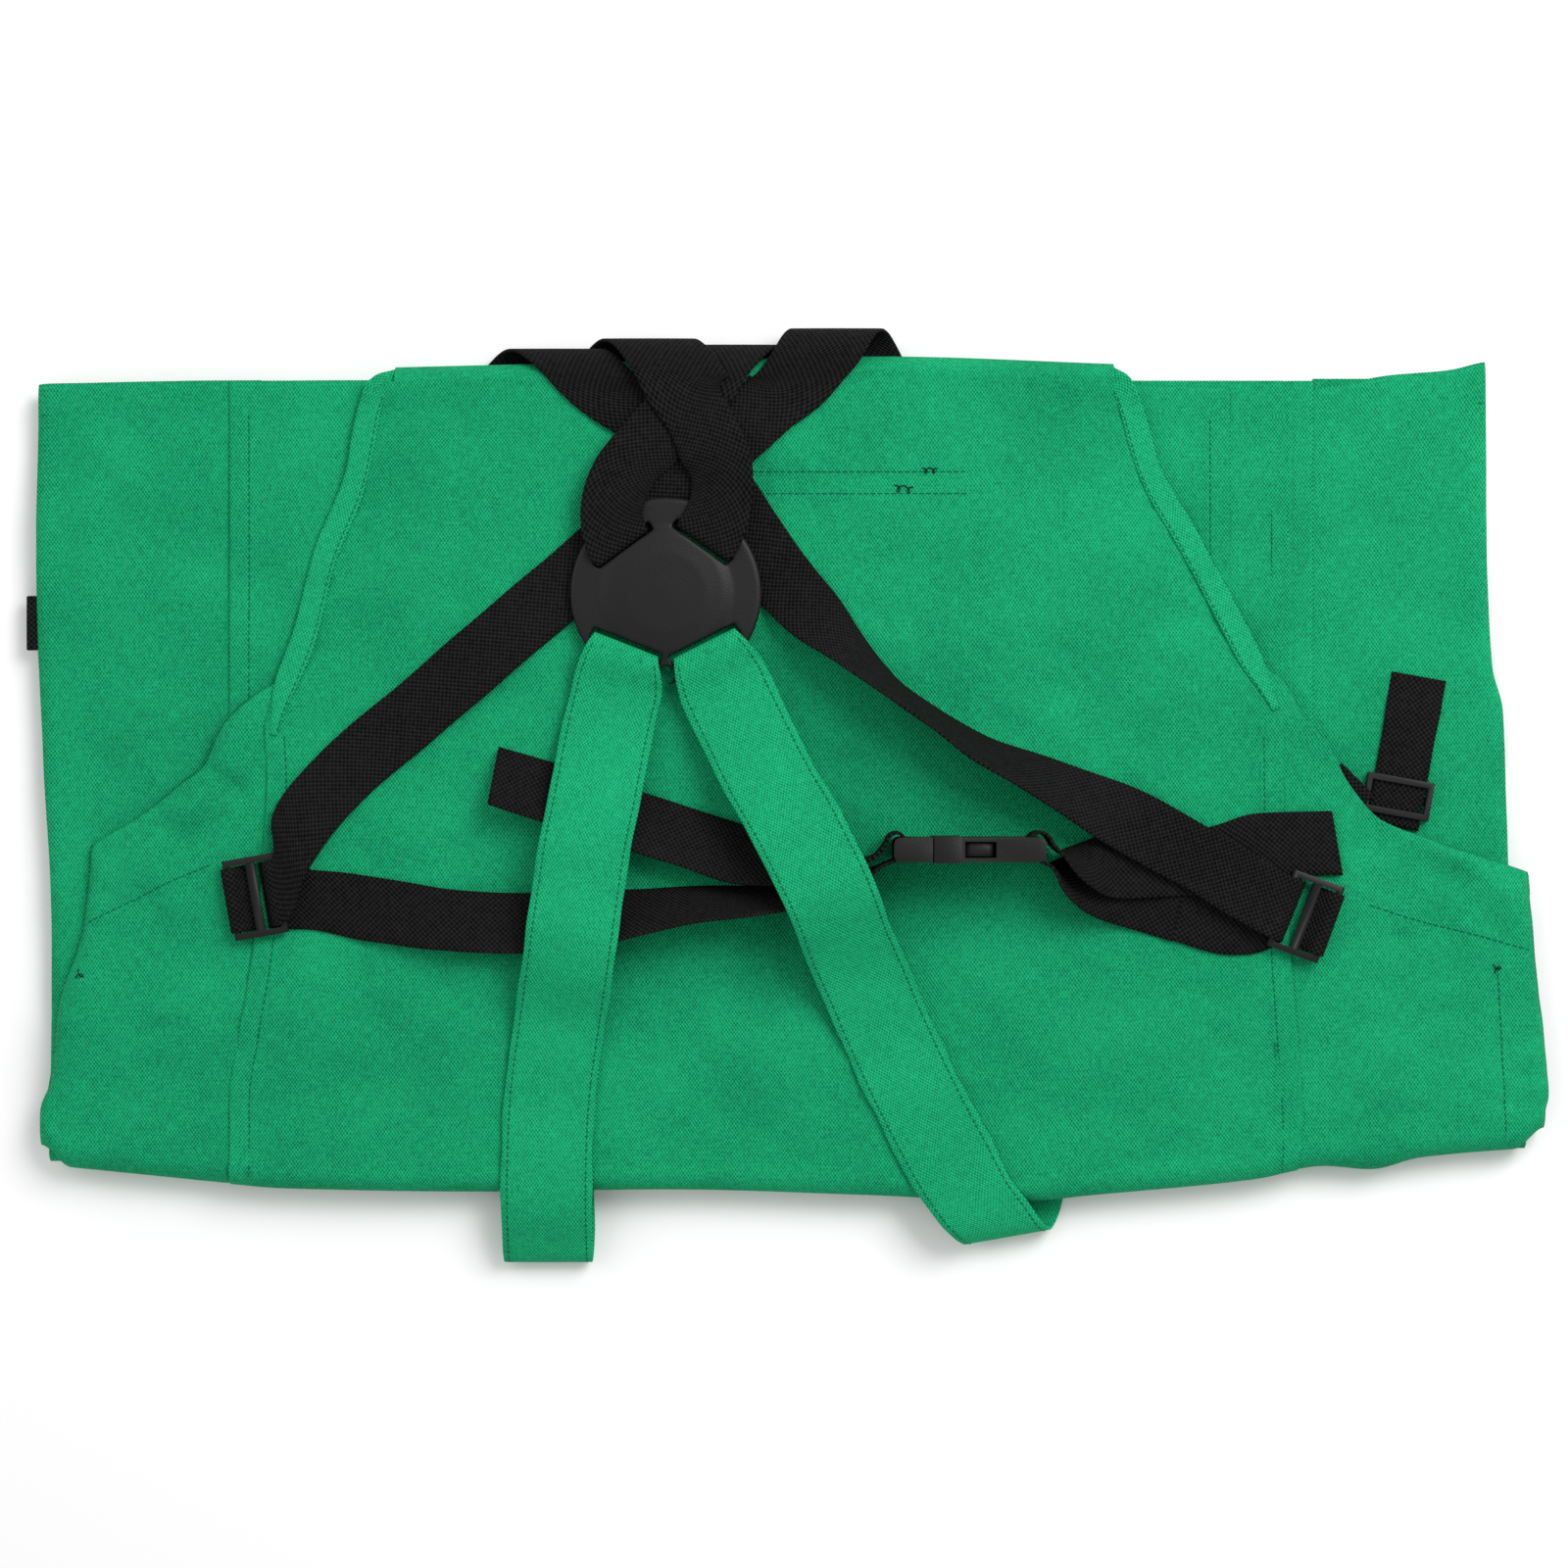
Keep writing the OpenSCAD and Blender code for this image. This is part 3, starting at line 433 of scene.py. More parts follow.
right_shoulder_route = strap_route(
    [-38, 115.7, DISC_Z + 0.9, -35, 0, WEB_W - 3], [-37.7, 116.2, DISC_Z + 4.3, -35, 0, WEB_W - 2],
    [-34.4, 121, OVER_RIM + 1.3, -34], [-29.5, 136, OVER_RIM + 0.8, -12, 8],
    [-29.5, 149, OVER_RIM + 1.4, 14, 14], [-35, 162, OVER_RIM + 1, 30, 6],
    [-42, 177, LAY + 3.4 * LEVEL, 38], *over_top(-65, -1, 3.4 * LEVEL, 3), *turn_behind(-65, -107),
    *back_over(-107, 1, 1.6), (-63, 174.5, -131), (-30, 140, -133), (-1, 98.5, -138),
    (10, 86, -138, 20), (24, 72, -136, 46), (50, 48, -132, 72), (70, 34, -124, 72), (88, 22, -116, 64),
    (112, 11, -114, 54), (136, -0.5, -120, 32, 0.6), (157, -11, -124, 12, 1.6),
    (175, -21, -122, 5, 2.8), (193, -31, -120, 0, 3.2), (212, -42.5, -117, 0, 3.4),
    [225.5, -50.2, LAY + 6.8, -113], [228.6, -51.5, LAY + 6.3, -112], [231.2, -52.6, LAY + 4.4, -112],
    [232.2, -53, LAY + 2.4, -112])

left_waist_route = strap_route(
    (-239.6, -45.4, -80), (-226, -46.5, -82), (-189, -52, -84), (-150, -57, -88, 20),
    (-117, -58, -91, 25), (-94, -56.5, -92, 28), (-73, -54, -94, 42), (-43, -49.5, -92, 58),
    (-10, -47, -86, 66), (20, -41.5, -76, 74), (35, -36, -72, 82, 0.8), (43, -31.6), (50, -28.2),
    (53.4, -25.6))

left_tail_route = strap_route(
    (54, -22.2), (53.4, -18.6), (50.6, -16.4), (47.2, -17.4), (44.6, -22.2), (40, -27.2),
    (30, -30, -96, 82, 0.8), (18, -31.2, -100, 68), (-1, -30.4, -104, 46), (-20, -27, -107, 30),
    (-45, -19, -108, 25), (-70, -11, -108, 25), (-100, -1, -107, 25), (-134, 9.5, -99, 25))

right_waist_route = strap_route(
    (232.4, -53.1, -112), (222, -57, -105), (206, -58, -97), (180, -51.5, -101), (165, -47.5, -104),
    (150, -43, -106, 12), (137, -38.6, -108, 35), (126, -34, -106, 64), (119, -31), (114, -28.4),
    (110.6, -25.4))

right_tail_route = strap_route(
    (109.6, -22.2), (110.4, -18.6), (113.6, -16.2), (117.6, -17.2), (120.4, -21.4), (124, -25.2),
    (130, -27.6, -100, 72, 1), (140, -30, -97, 42, 1), (150, -31.5, -94, 14, 1.2),
    (168, -31.5, -90, 4, 1), (199, -28.5, -84, 0, 1), (214, -23.8, -84, 0, 0.4), (230, -22, -84),
    (253, -21.5, -80))

BAND_LAY = TOP_Z + GAP + BAND_T / 2
BAND_UNDER = FLAP_Z - 0.1 - BAND_T / 2
left_band_route = strap_route(
    [-73.2, 68.8, DISC_Z + 0.9, -21.3, 0, BAND_W - 10],
    [-73.4, 68.2, DISC_Z + 4.8, -21.3, 0, BAND_W - 10], [-74.4, 63.3, OVER_RIM + 2, -20, 0, BAND_W - 6],
    [-77, 50, OVER_RIM - 1.4, -13], [-81, 33, BAND_LAY + 4, -11], [-88, -5, BAND_LAY + 13.5, -10],
    [-91, -20, BAND_LAY + 16, -9], [-94, -40, BAND_LAY + 17.5, -9], [-97, -62, BAND_LAY + 21.2, -8],
    [-99, -76, BAND_LAY + 18, -7], [-104, -106, BAND_LAY + 3, -5], [-108, -135, BAND_LAY, -3],
    [-110, -181, BAND_LAY, -1], [-110, -194, BAND_LAY - 2.5, 0], [-110, -205, BAND_LAY - 8, 0],
    [-110, -213, BAND_LAY - 13, 0], [-110, -215, 6.4, 0], [-110, -212, 2.6, 0],
    [-110, -205, BAND_UNDER, 0], [-108, -120, BAND_UNDER, 1], [-100, 0, BAND_UNDER, 4],
    [-95, 84, BAND_UNDER, 4], width=BAND_W)
right_band_route = strap_route(
    [-37.1, 69.3, DISC_Z + 0.9, 26.6, 0, BAND_W - 10],
    [-36.9, 68.8, DISC_Z + 4.8, 26.6, 0, BAND_W - 10], [-34.8, 64.4, OVER_RIM + 2, 26, 0, BAND_W - 6],
    [-29, 52, OVER_RIM - 0.6, 26], [-20, 33, BAND_LAY + 10, 27], [-6, 5, BAND_LAY + 21, 28],
    [5, -14, BAND_LAY + 29.5, 29], [12, -28, BAND_LAY + 34.5, 28], [18, -40, BAND_LAY + 34.9, 27],
    [23, -52, BAND_LAY + 30, 26], [28, -66, BAND_LAY + 20, 25], [36, -84, BAND_LAY + 8, 24],
    [44, -103, BAND_LAY + 1, 25], [53, -123, BAND_LAY, 26], [76, -168, BAND_LAY, 28],
    [86, -185, BAND_LAY, 24, 0, BAND_W - 2], [94, -195, BAND_LAY - 3, 18, 0, BAND_W - 2],
    [99, -201, BAND_LAY - 8, 12, 0, BAND_W - 2], [102, -203, BAND_LAY - 13, 10, 0, BAND_W - 2],
    [104, -202, 5.4, 9, 0, BAND_W - 2], [106, -196, 2.6, 8], [108, -188, BAND_UNDER, 6],
    [112, -120, BAND_UNDER, 0], [102, 0, BAND_UNDER, -4], [94, 84, BAND_UNDER, -4],
    width=BAND_W)


# ---- materials
def material(name, colour, roughness, specular):
    mat = bpy.data.materials.new(name)
    mat.use_nodes = True
    bsdf = mat.node_tree.nodes["Principled BSDF"]
    bsdf.inputs["Base Color"].default_value = (*colour, 1)
    bsdf.inputs["Roughness"].default_value = roughness
    bsdf.inputs["Specular IOR Level"].default_value = specular
    return mat, mat.node_tree, bsdf


def math_node(tree, operation, *values):
    node = tree.nodes.new("ShaderNodeMath")
    node.operation = operation
    for socket, value in zip(node.inputs, values):
        if isinstance(value, (int, float)):
            socket.default_value = value
        else:
            tree.links.new(value, socket)
    return node.outputs[0]


def noise_texture(tree, vector, scale, detail):
    noise = tree.nodes.new("ShaderNodeTexNoise")
    noise.inputs["Scale"].default_value = scale
    noise.inputs["Detail"].default_value = detail
    tree.links.new(vector, noise.inputs["Vector"])
    return noise.outputs[0]


def weave(tree, pitch_u, pitch_v):
    """A plain weave from 0 in the gaps to 1 on the thread crowns, along the cloth's own threads."""
    uv = tree.nodes.new("ShaderNodeUVMap")
    uv.uv_map = "cloth"
    split = tree.nodes.new("ShaderNodeSeparateXYZ")
    tree.links.new(uv.outputs[0], split.inputs[0])
    shift = math_node(tree, "MULTIPLY", noise_texture(tree, uv.outputs[0], 0.12, 2), 0.5)
    u = math_node(tree, "ADD", split.outputs[0], shift)
    v = math_node(tree, "ADD", split.outputs[1], shift)
    su = math_node(tree, "SINE", math_node(tree, "MULTIPLY", u, 2 * math.pi / pitch_u))
    sv = math_node(tree, "SINE", math_node(tree, "MULTIPLY", v, 2 * math.pi / pitch_v))
    both = math_node(tree, "MULTIPLY", su, sv)
    return uv, math_node(tree, "ADD", math_node(tree, "MULTIPLY", both, 0.5), 0.5)


def mixed(tree, factor, dark, light):
    mix = tree.nodes.new("ShaderNodeMix")
    mix.data_type = "RGBA"
    tree.links.new(factor, mix.inputs["Factor"])
    colours = [s for s in mix.inputs if s.type == "RGBA"]
    for socket, colour in zip(colours, (dark, light)):
        socket.default_value = (*colour, 1)
    return [s for s in mix.outputs if s.type == "RGBA"][0]


def bump(tree, height, strength, distance):
    node = tree.nodes.new("ShaderNodeBump")
    node.inputs["Strength"].default_value = strength
    node.inputs["Distance"].default_value = distance
    tree.links.new(height, node.inputs["Height"])
    return node.outputs[0]


def thread_noise(tree, uv, pitch, stretch_u, stretch_v, contrast):
    """Uneven threads: noise drawn out along one direction of the weave, spread about 0.5."""
    place = tree.nodes.new("ShaderNodeMapping")
    place.inputs["Scale"].default_value = (stretch_u / pitch, stretch_v / pitch, 1)
    tree.links.new(uv.outputs[0], place.inputs["Vector"])
    noise = noise_texture(tree, place.outputs[0], 1, 2)
    return math_node(tree, "MULTIPLY", math_node(tree, "SUBTRACT", noise, 0.5), contrast)


def cloth_material(name, dark, light, pitch, roughness, bump_mm, slub=1.0):
    """Woven cloth: a painted highlight on each thread crown over painted shade in the gaps, uneven threads
    both ways and faint cloudiness.
    """
    mat, tree, bsdf = material(name, light, roughness, 0.06)
    uv, threads = weave(tree, *pitch)
    level = math_node(tree, "MULTIPLY", threads, 1.05)
    noises = ((1.3, 0.3, 0.65), (0.3, 1.3, 0.65), (1.1, 1.1, 0.7), (0.03, 0.03, 0.6))
    for stretch_u, stretch_v, contrast in noises:
        level = math_node(tree, "ADD", level,
                          thread_noise(tree, uv, pitch[0], stretch_u, stretch_v, contrast * slub))
    # the weave paints highlights on the thread crowns and shade in the gaps; the thread noise adds the
    # cloth's own uneven tone
    tree.links.new(mixed(tree, level, dark, light), bsdf.inputs["Base Color"])
    height = math_node(tree, "ADD", threads, math_node(tree, "MULTIPLY", level, 0.5))
    tree.links.new(bump(tree, height, 0.8, bump_mm * MM), bsdf.inputs["Normal"])
    return mat


# dark and light colour of each cloth: between them the weave paints shade in the gaps and highlights on the
# thread crowns, and the thread noise gives the cloth's own uneven tone
canvas = cloth_material("canvas", (0.002, 0.14, 0.056), (0.013, 0.45, 0.19), (1.5, 2.1), 0.8, 0.35)
band_canvas = cloth_material("band canvas", (0.003, 0.18, 0.075), (0.015, 0.48, 0.2), (1.5, 2.1), 0.8, 0.32)
webbing = cloth_material("webbing", (0.0015, 0.0015, 0.0017), (0.018, 0.017, 0.0175), (2.5, 2.5), 0.85, 0.7,
                         slub=0.8)


def plastic_material():
    mat, tree, bsdf = material("black plastic", (0.007, 0.007, 0.0078), 0.45, 0.22)
    place = tree.nodes.new("ShaderNodeTexCoord")
    grain = noise_texture(tree, place.outputs["Object"], 900, 3)
    tree.links.new(bump(tree, grain, 0.35, 0.25 * MM), bsdf.inputs["Normal"])
    return mat


plastic = plastic_material()
green_thread = material("topstitch thread", (0.003, 0.1, 0.045), 0.7, 0.1)[0]
black_thread = material("black thread", (0.004, 0.004, 0.004), 0.7, 0.1)[0]


# ---- stitching
STITCH_PITCH, STITCH_LONG, STITCH_WIDE = 3.2, 2.4, 0.42


def stitch_line(name, points, lift=0.1):
    """Separate stitches along a line of points that already lie on the cloth."""
    pts = np.array(points, float)
    run = run_along(pts)
    at = np.arange(STITCH_PITCH / 2, run[-1] - STITCH_PITCH / 2, STITCH_PITCH)
    verts, faces = [], []
    ring = [(-0.5, 0.55, -0.2), (-0.38, 1, 1), (0.38, 1, 1), (0.5, 0.55, -0.2)]
    for s in at:
        a, b = (np.array([np.interp(s + end * STITCH_LONG / 2, run, pts[:, k]) for k in range(3)])
                for end in (-1, 1))
        d = (b - a) / max(np.linalg.norm(b - a), 1e-6)
        side = np.cross(d, (0, 0, 1))
        side /= max(np.linalg.norm(side), 1e-6)
        up = np.cross(side, d)
        mid, base = (a + b) / 2, len(verts)
        for f, w, h in ring:
            for q in (-1, 1):
                verts.append(mid + d * f * STITCH_LONG + side * q * w * STITCH_WIDE / 2
                             + up * (lift + 0.18) * h)
            verts.append(mid + d * f * STITCH_LONG + up * ((lift + 0.32) * h if h > 0 else -0.1))
        for k in range(3):
            p, q = base + 3 * k, base + 3 * k + 3
            faces += [(p, p + 2, q + 2, q), (p + 2, p + 1, q + 1, q + 2)]
    mesh = bpy.data.meshes.new(name)
    mesh.from_pydata((np.array(verts) * MM).tolist(), [], faces)
    shade_smooth(mesh)
    return add_object(name, mesh, green_thread, "thread")


def thread_curve(name, points, radius, slot="thread", thread=black_thread):
    data = bpy.data.curves.new(name, "CURVE")
    data.dimensions = "3D"
    data.bevel_depth = radius * MM
    data.bevel_resolution = 2
    spline = data.splines.new("NURBS")
    spline.points.add(len(points) - 1)
    for p, q in zip(spline.points, points):
        p.co = (q[0] * MM, q[1] * MM, q[2] * MM, 1)
    spline.use_endpoint_u = True
    spline.order_u = 3
    return add_object(name, data, thread, slot)


# ---- front panel
FRONT_CREASES = [  # from, to, half width, height
    ((-228, 60), (-175, 95), 9, -1.7), ((-232, 30), (-170, 25), 10, -1.53),
    ((205, 70), (150, 95), 10, -1.7), ((215, 40), (160, 30), 9, -1.36),
    ((-250, -120), (-150, -140), 12, -1.36), ((237, -120), (150, -130), 12, -1.36),
    ((-160, 185), (-120, 150), 14, -1.53), ((140, 185), (105, 140), 14, -1.53),
    ((-40, 140), (60, 146), 8, -0.85),
    ((-155, 24), (-112, 58), 14, -2.89), ((-136, -12), (-126, -46), 12, -2.55),
    ((-195, -88), (-216, -152), 16, -3.4), ((-62, -98), (-18, -162), 16, -3.06),
    ((58, -88), (124, -160), 18, -3.06), ((178, -80), (214, -142), 16, -3.06),
    ((-205, -75), (-150, -84), 12, -2.72), ((20, 20), (70, -8), 14, -2.72), ((120, 60), (170, 20), 16, -2.72)]


def front_z(x, y):
    """Height of the front panel's outer face."""
    fine = -0.35 * np.abs(swell(x, y, 26, 11)) - 0.25 * np.abs(swell(x, y, 12, 12))
    relief = (creases(x, y, FRONT_CREASES) + fine) * (0.25 + 0.75 * hardware_mask(x, y))
    return TOP_Z + swelling(x, y) + relief


def lip(d):
    """The raised, turned under edge of a lapped seam at distance d, with the topstitch pulled in."""
    flat = fade(SEAM_STITCH + 0.5, SEAM_STITCH + 3.5, d)
    return (0.75 * flat * np.sqrt(np.clip(d / 0.9, 0, 1))
            - 0.4 * np.exp(-((d - SEAM_STITCH) / 0.8) ** 2) - 0.9 * (1 - np.clip(d / 0.9, 0, 1)))


def hem_edge(from_top, end):
    """The doubled cloth of a hem as far as end, and its rounded upper edge."""
    return 0.5 * fade(13, end, from_top) - 0.9 * fade(0, 1.2, from_top)


def columns(width):
    """Offsets across a panel, closer together near both of its edges."""
    fine = 14.0
    edge = np.array([0, 0.3, 0.7, 1.2, 2, 3, 4.2, 5.4, 6.6, 7.8, 8.7, 9.5, 10.3, 11.4, 12.6, fine])
    middle = np.linspace(fine, width - fine, int((width - 2 * fine) / 2.6))[1:-1]
    return np.concatenate([edge, middle, width - edge[::-1]]) / width


def folded_profile(parts, step=2.4):
    """(y, z, part) along a cloth that runs straight or round a fold; a part is a straight
    (y0, y1, z) or an arc (centre y, centre z, radius, first angle, last angle)."""
    out = []
    for k, part in enumerate(parts):
        if len(part) == 3:
            y0, y1, z = part
            n = max(2, int(abs(y1 - y0) / step))
            out += [(y, z, k) for y in np.linspace(y0, y1, n, endpoint=False)]
        else:
            yc, zc, r, a0, a1 = part
            n = max(10, int(abs(a1 - a0) / 180 * 14))
            for a in np.linspace(a0, a1, n, endpoint=False):
                c, s = cos_sin(a)
                out.append((yc + r * c, zc + r * s, k))
    y, z, k = (np.array(v) for v in zip(*out))
    return y.astype(float), z.astype(float), k


def spread(f, *rows):
    """Each row value repeated across the columns f."""
    return [np.repeat(v[:, None], len(f), 1) for v in rows]


def cloth_uv(f, x, y, z):
    """Across the cloth, and along its profile (y, z)."""
    run = np.concatenate([[0], np.cumsum(np.hypot(np.diff(y), np.diff(z)))])
    return stack(x, *spread(f, run))


def make_front_panel():
    top_r, low_r = (TOP_Z - FLAP_Z) / 2, (TOP_Z - FRONT_LOWER_Z) / 2
    top_c, low_c = TOP_Y - top_r, FOLD_Y + low_r
    y, z, k = folded_profile([
        (FLAP_END_Y, top_c, FLAP_Z),
        (top_c, FLAP_Z + top_r, top_r, -90, 90),
        (top_c, low_c, TOP_Z),
        (low_c, FRONT_LOWER_Z + low_r, low_r, 90, 270),
        (low_c, HEM_Y + 5, FRONT_LOWER_Z)])
    left = np.where(k <= 1, BIB_LEFT[0][0], np.where(k == 2, front_left(y), FOLD_LEFT))
    right = np.where(k <= 1, BIB_RIGHT[0][0], np.where(k == 2, front_right(y), FOLD_RIGHT))
    back_half = (k == 3) & (z < FRONT_LOWER_Z + low_r)
    left[back_half] += 16 * (1 - (z[back_half] - FRONT_LOWER_Z) / low_r)
    right[back_half] -= 6 * (1 - (z[back_half] - FRONT_LOWER_Z) / low_r)
    left[k == 4], right[k == 4] = -240, 230
    f = columns(480)
    x = left[:, None] + f * (right - left)[:, None]
    yy, zz = spread(f, y, z)
    uv = cloth_uv(f, x, y, z)
    inset = np.minimum(x - left[:, None], right[:, None] - x)
    front = k == 2
    seam = fade(30, 52, yy[front])
    zz[front] = front_z(x[front], yy[front]) + lip(inset[front]) * seam
    upper = (k == 3) & (z >= FRONT_LOWER_Z + low_r)
    share = ((z[upper] - FRONT_LOWER_Z - low_r) / low_r)[:, None]
    zz[upper] += swelling(x[upper], np.full_like(x[upper], low_c)) * share
    yy += (curve(BOTTOM, x) - FOLD_Y) * fade(-174, -60, yy) * (k[:, None] >= 2)
    yy += (curve(BIB_TOP, x) - TOP_Y) * smoothstep(150, 195, yy) * (k[:, None] <= 2)
    obj = cloth_sheet("front_panel_cloth", stack(x, yy, zz), uv, flip=True)
    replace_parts(obj, "front_panel")


# ---- back panels
BACK_CREASES = [((-345, 120), (-300, 150), 10, 2.04), ((-335, 176), (-300, 120), 12, -2.04),
                ((-300, 60), (-285, -20), 12, 2.04), ((-330, 10), (-280, 60), 12, -1.7),
                ((300, 190), (285, 90), 12, 2.38), ((262, 180), (255, 60), 10, -1.7),
                ((320, 90), (290, 40), 12, -2.04), ((250, 90), (300, 20), 12, 2.04)]


def back_z(x, y, base):
    fine = 0.3 * swell(x, y, 30, 21) + 0.5 * swell(x, y, 80, 22)
    right_strap = np.hypot(x - 283, (y - 22) / 2.2)
    left_strap = np.hypot((x + 307) / 2.0, y - 80)
    calm = smoothstep(24, 38, right_strap) * smoothstep(20, 36, left_strap)
    return base + (creases(x, y, BACK_CREASES) + fine) * calm


def half_calm(x, y, base):
    return back_z(x, y, base) * 0.5 + base * 0.5


def hem_top(x):
    """Where the back's near hem ends, by X."""
    return curve([(-346, 190), (-257, 191.5), (0, 192.5), (205, 189), (226, 188), (242, 188), (279, 194),
                  (304, 196), (324, 201)], x)


def make_overlay():
    """The middle panel behind the bib, with its hem turned over at the top."""
    top, base = HEM_Y + 1, OVERLAY_Z + CLOTH
    y = BACK_FOLD_Y + (top - BACK_FOLD_Y) * np.linspace(0, 1, int((top - BACK_FOLD_Y) / 2.8))
    f = columns(OVERLAY_RIGHT - OVERLAY_LEFT)
    x = OVERLAY_LEFT + f * (OVERLAY_RIGHT - OVERLAY_LEFT) + 0 * y[:, None]
    yy, = spread(f, y)
    yy = yy + (hem_top(x) - top) * smoothstep(top - 60, top, yy)
    z = half_calm(x, yy, base) + hem_edge(hem_top(x) - yy, 16)
    z = z + lip(x - OVERLAY_LEFT) + lip(OVERLAY_RIGHT - x)
    obj = cloth_sheet("back_overlay_cloth", stack(x, yy, z), stack(x, yy))
    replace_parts(obj, "back_overlay")


def make_back():
    top = BACK_UPPER_Z + CLOTH
    r = (top - BACK_LOWER_Z) / 2
    centre = BACK_FOLD_Y + r
    y, z, k = folded_profile([(HEM_Y + 1.5, centre, top), (centre, BACK_LOWER_Z + r, r, 90, 270),
                              (centre, HEM_Y + 2, BACK_LOWER_Z)], step=4)
    width = BACK_RIGHT - BACK_LEFT
    f = columns(width)
    x = BACK_LEFT + width * np.repeat(f[None], len(y), 0)
    yy, zz = spread(f, y, z)
    upper = k[:, None] == 0
    zz = np.where(upper, back_z(x, yy, zz) * 0.3 + zz * 0.7 - 0.1, zz) + lip(BACK_RIGHT - x) * upper
    panel = cloth_sheet("back_panel_cloth", stack(x, yy, zz), cloth_uv(f, x, y, z), thickness=0.6)
    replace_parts(panel, "back_panel")


def make_anchor_patch():
    x, y = np.meshgrid(-86 + 171 * np.linspace(0, 1, 40), 134 + 20 * np.linspace(0, 1, 8))
    z = TOP_Z - 1.1 + np.minimum(swelling(x, y), 0) - 0.6
    patch = cloth_sheet("strap_anchor_cloth", stack(x, y, z), stack(x, y), thickness=0.6)
    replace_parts(patch, "strap_anchor_patch")


# ---- gussets
def coons(top, bottom, start, end):
    """A net of points in a four sided patch; top and bottom run from start to end."""
    n, m = len(start), len(top)
    b, a = np.linspace(0, 1, n)[:, None, None], np.linspace(0, 1, m)[None, :, None]
    along = top[None] * (1 - b) + bottom[None] * b
    across = start[:, None] * (1 - a) + end[:, None] * a
    corners = ((1 - a) * (1 - b) * top[0] + a * (1 - b) * top[-1]
               + (1 - a) * b * bottom[0] + a * b * bottom[-1])
    return along + across - corners


def mouth_pucker(x, y, mouth_line, seed, side):
    """Gathers that run in from the mouth's edge, strongest at the edge."""
    d = np.min(np.hypot(x[..., None] - mouth_line[:, 0], y[..., None] - mouth_line[:, 1]), axis=-1)
    u = x * side * 0.8 + y * 0.6
    wave = swell(u, d * 0.25, 26, seed, 10)
    tight = swell(u, d * 0.12, 20, seed + 1, 10)
    return (1.6 * wave * np.exp(-d / 38) + 0.4 * tight * np.exp(-d / 16)) * smoothstep(-2, 5, d), d


LEFT_CREASES = [((-268, 15), (-247, -1), 4, -3.2), ((-262, 5), (-300, -40), 9, 1.8),
                ((-250, 15), (-285, -14), 6, 1.8), ((-290, -8), (-262, -30), 6, -2.0),
                ((-305, -16), (-270, -62), 8, 1.6), ((-335, -110), (-262, -90), 14, 1.2),
                ((-345, -160), (-280, -130), 12, -1.2), ((-322, -60), (-330, -150), 9, 1.2)]
RIGHT_CREASES = [((275, -11), (253, -36), 4, -3.6), ((262, 2), (250, -30), 6, 1.8),
                 ((288, -17), (262, -52), 7, 2.2), ((314, -28), (296, -68), 6, -2.6),
                 ((302, -22), (284, -60), 7, 2.0), ((330, -31), (312, -72), 8, 1.8),
                 ((345, -60), (262, -100), 12, -1.0), ((262, -150), (340, -140), 12, 1.2),
                 ((280, -90), (275, -160), 12, -1.2), ((236, 30), (232, -40), 6, 0.8)]


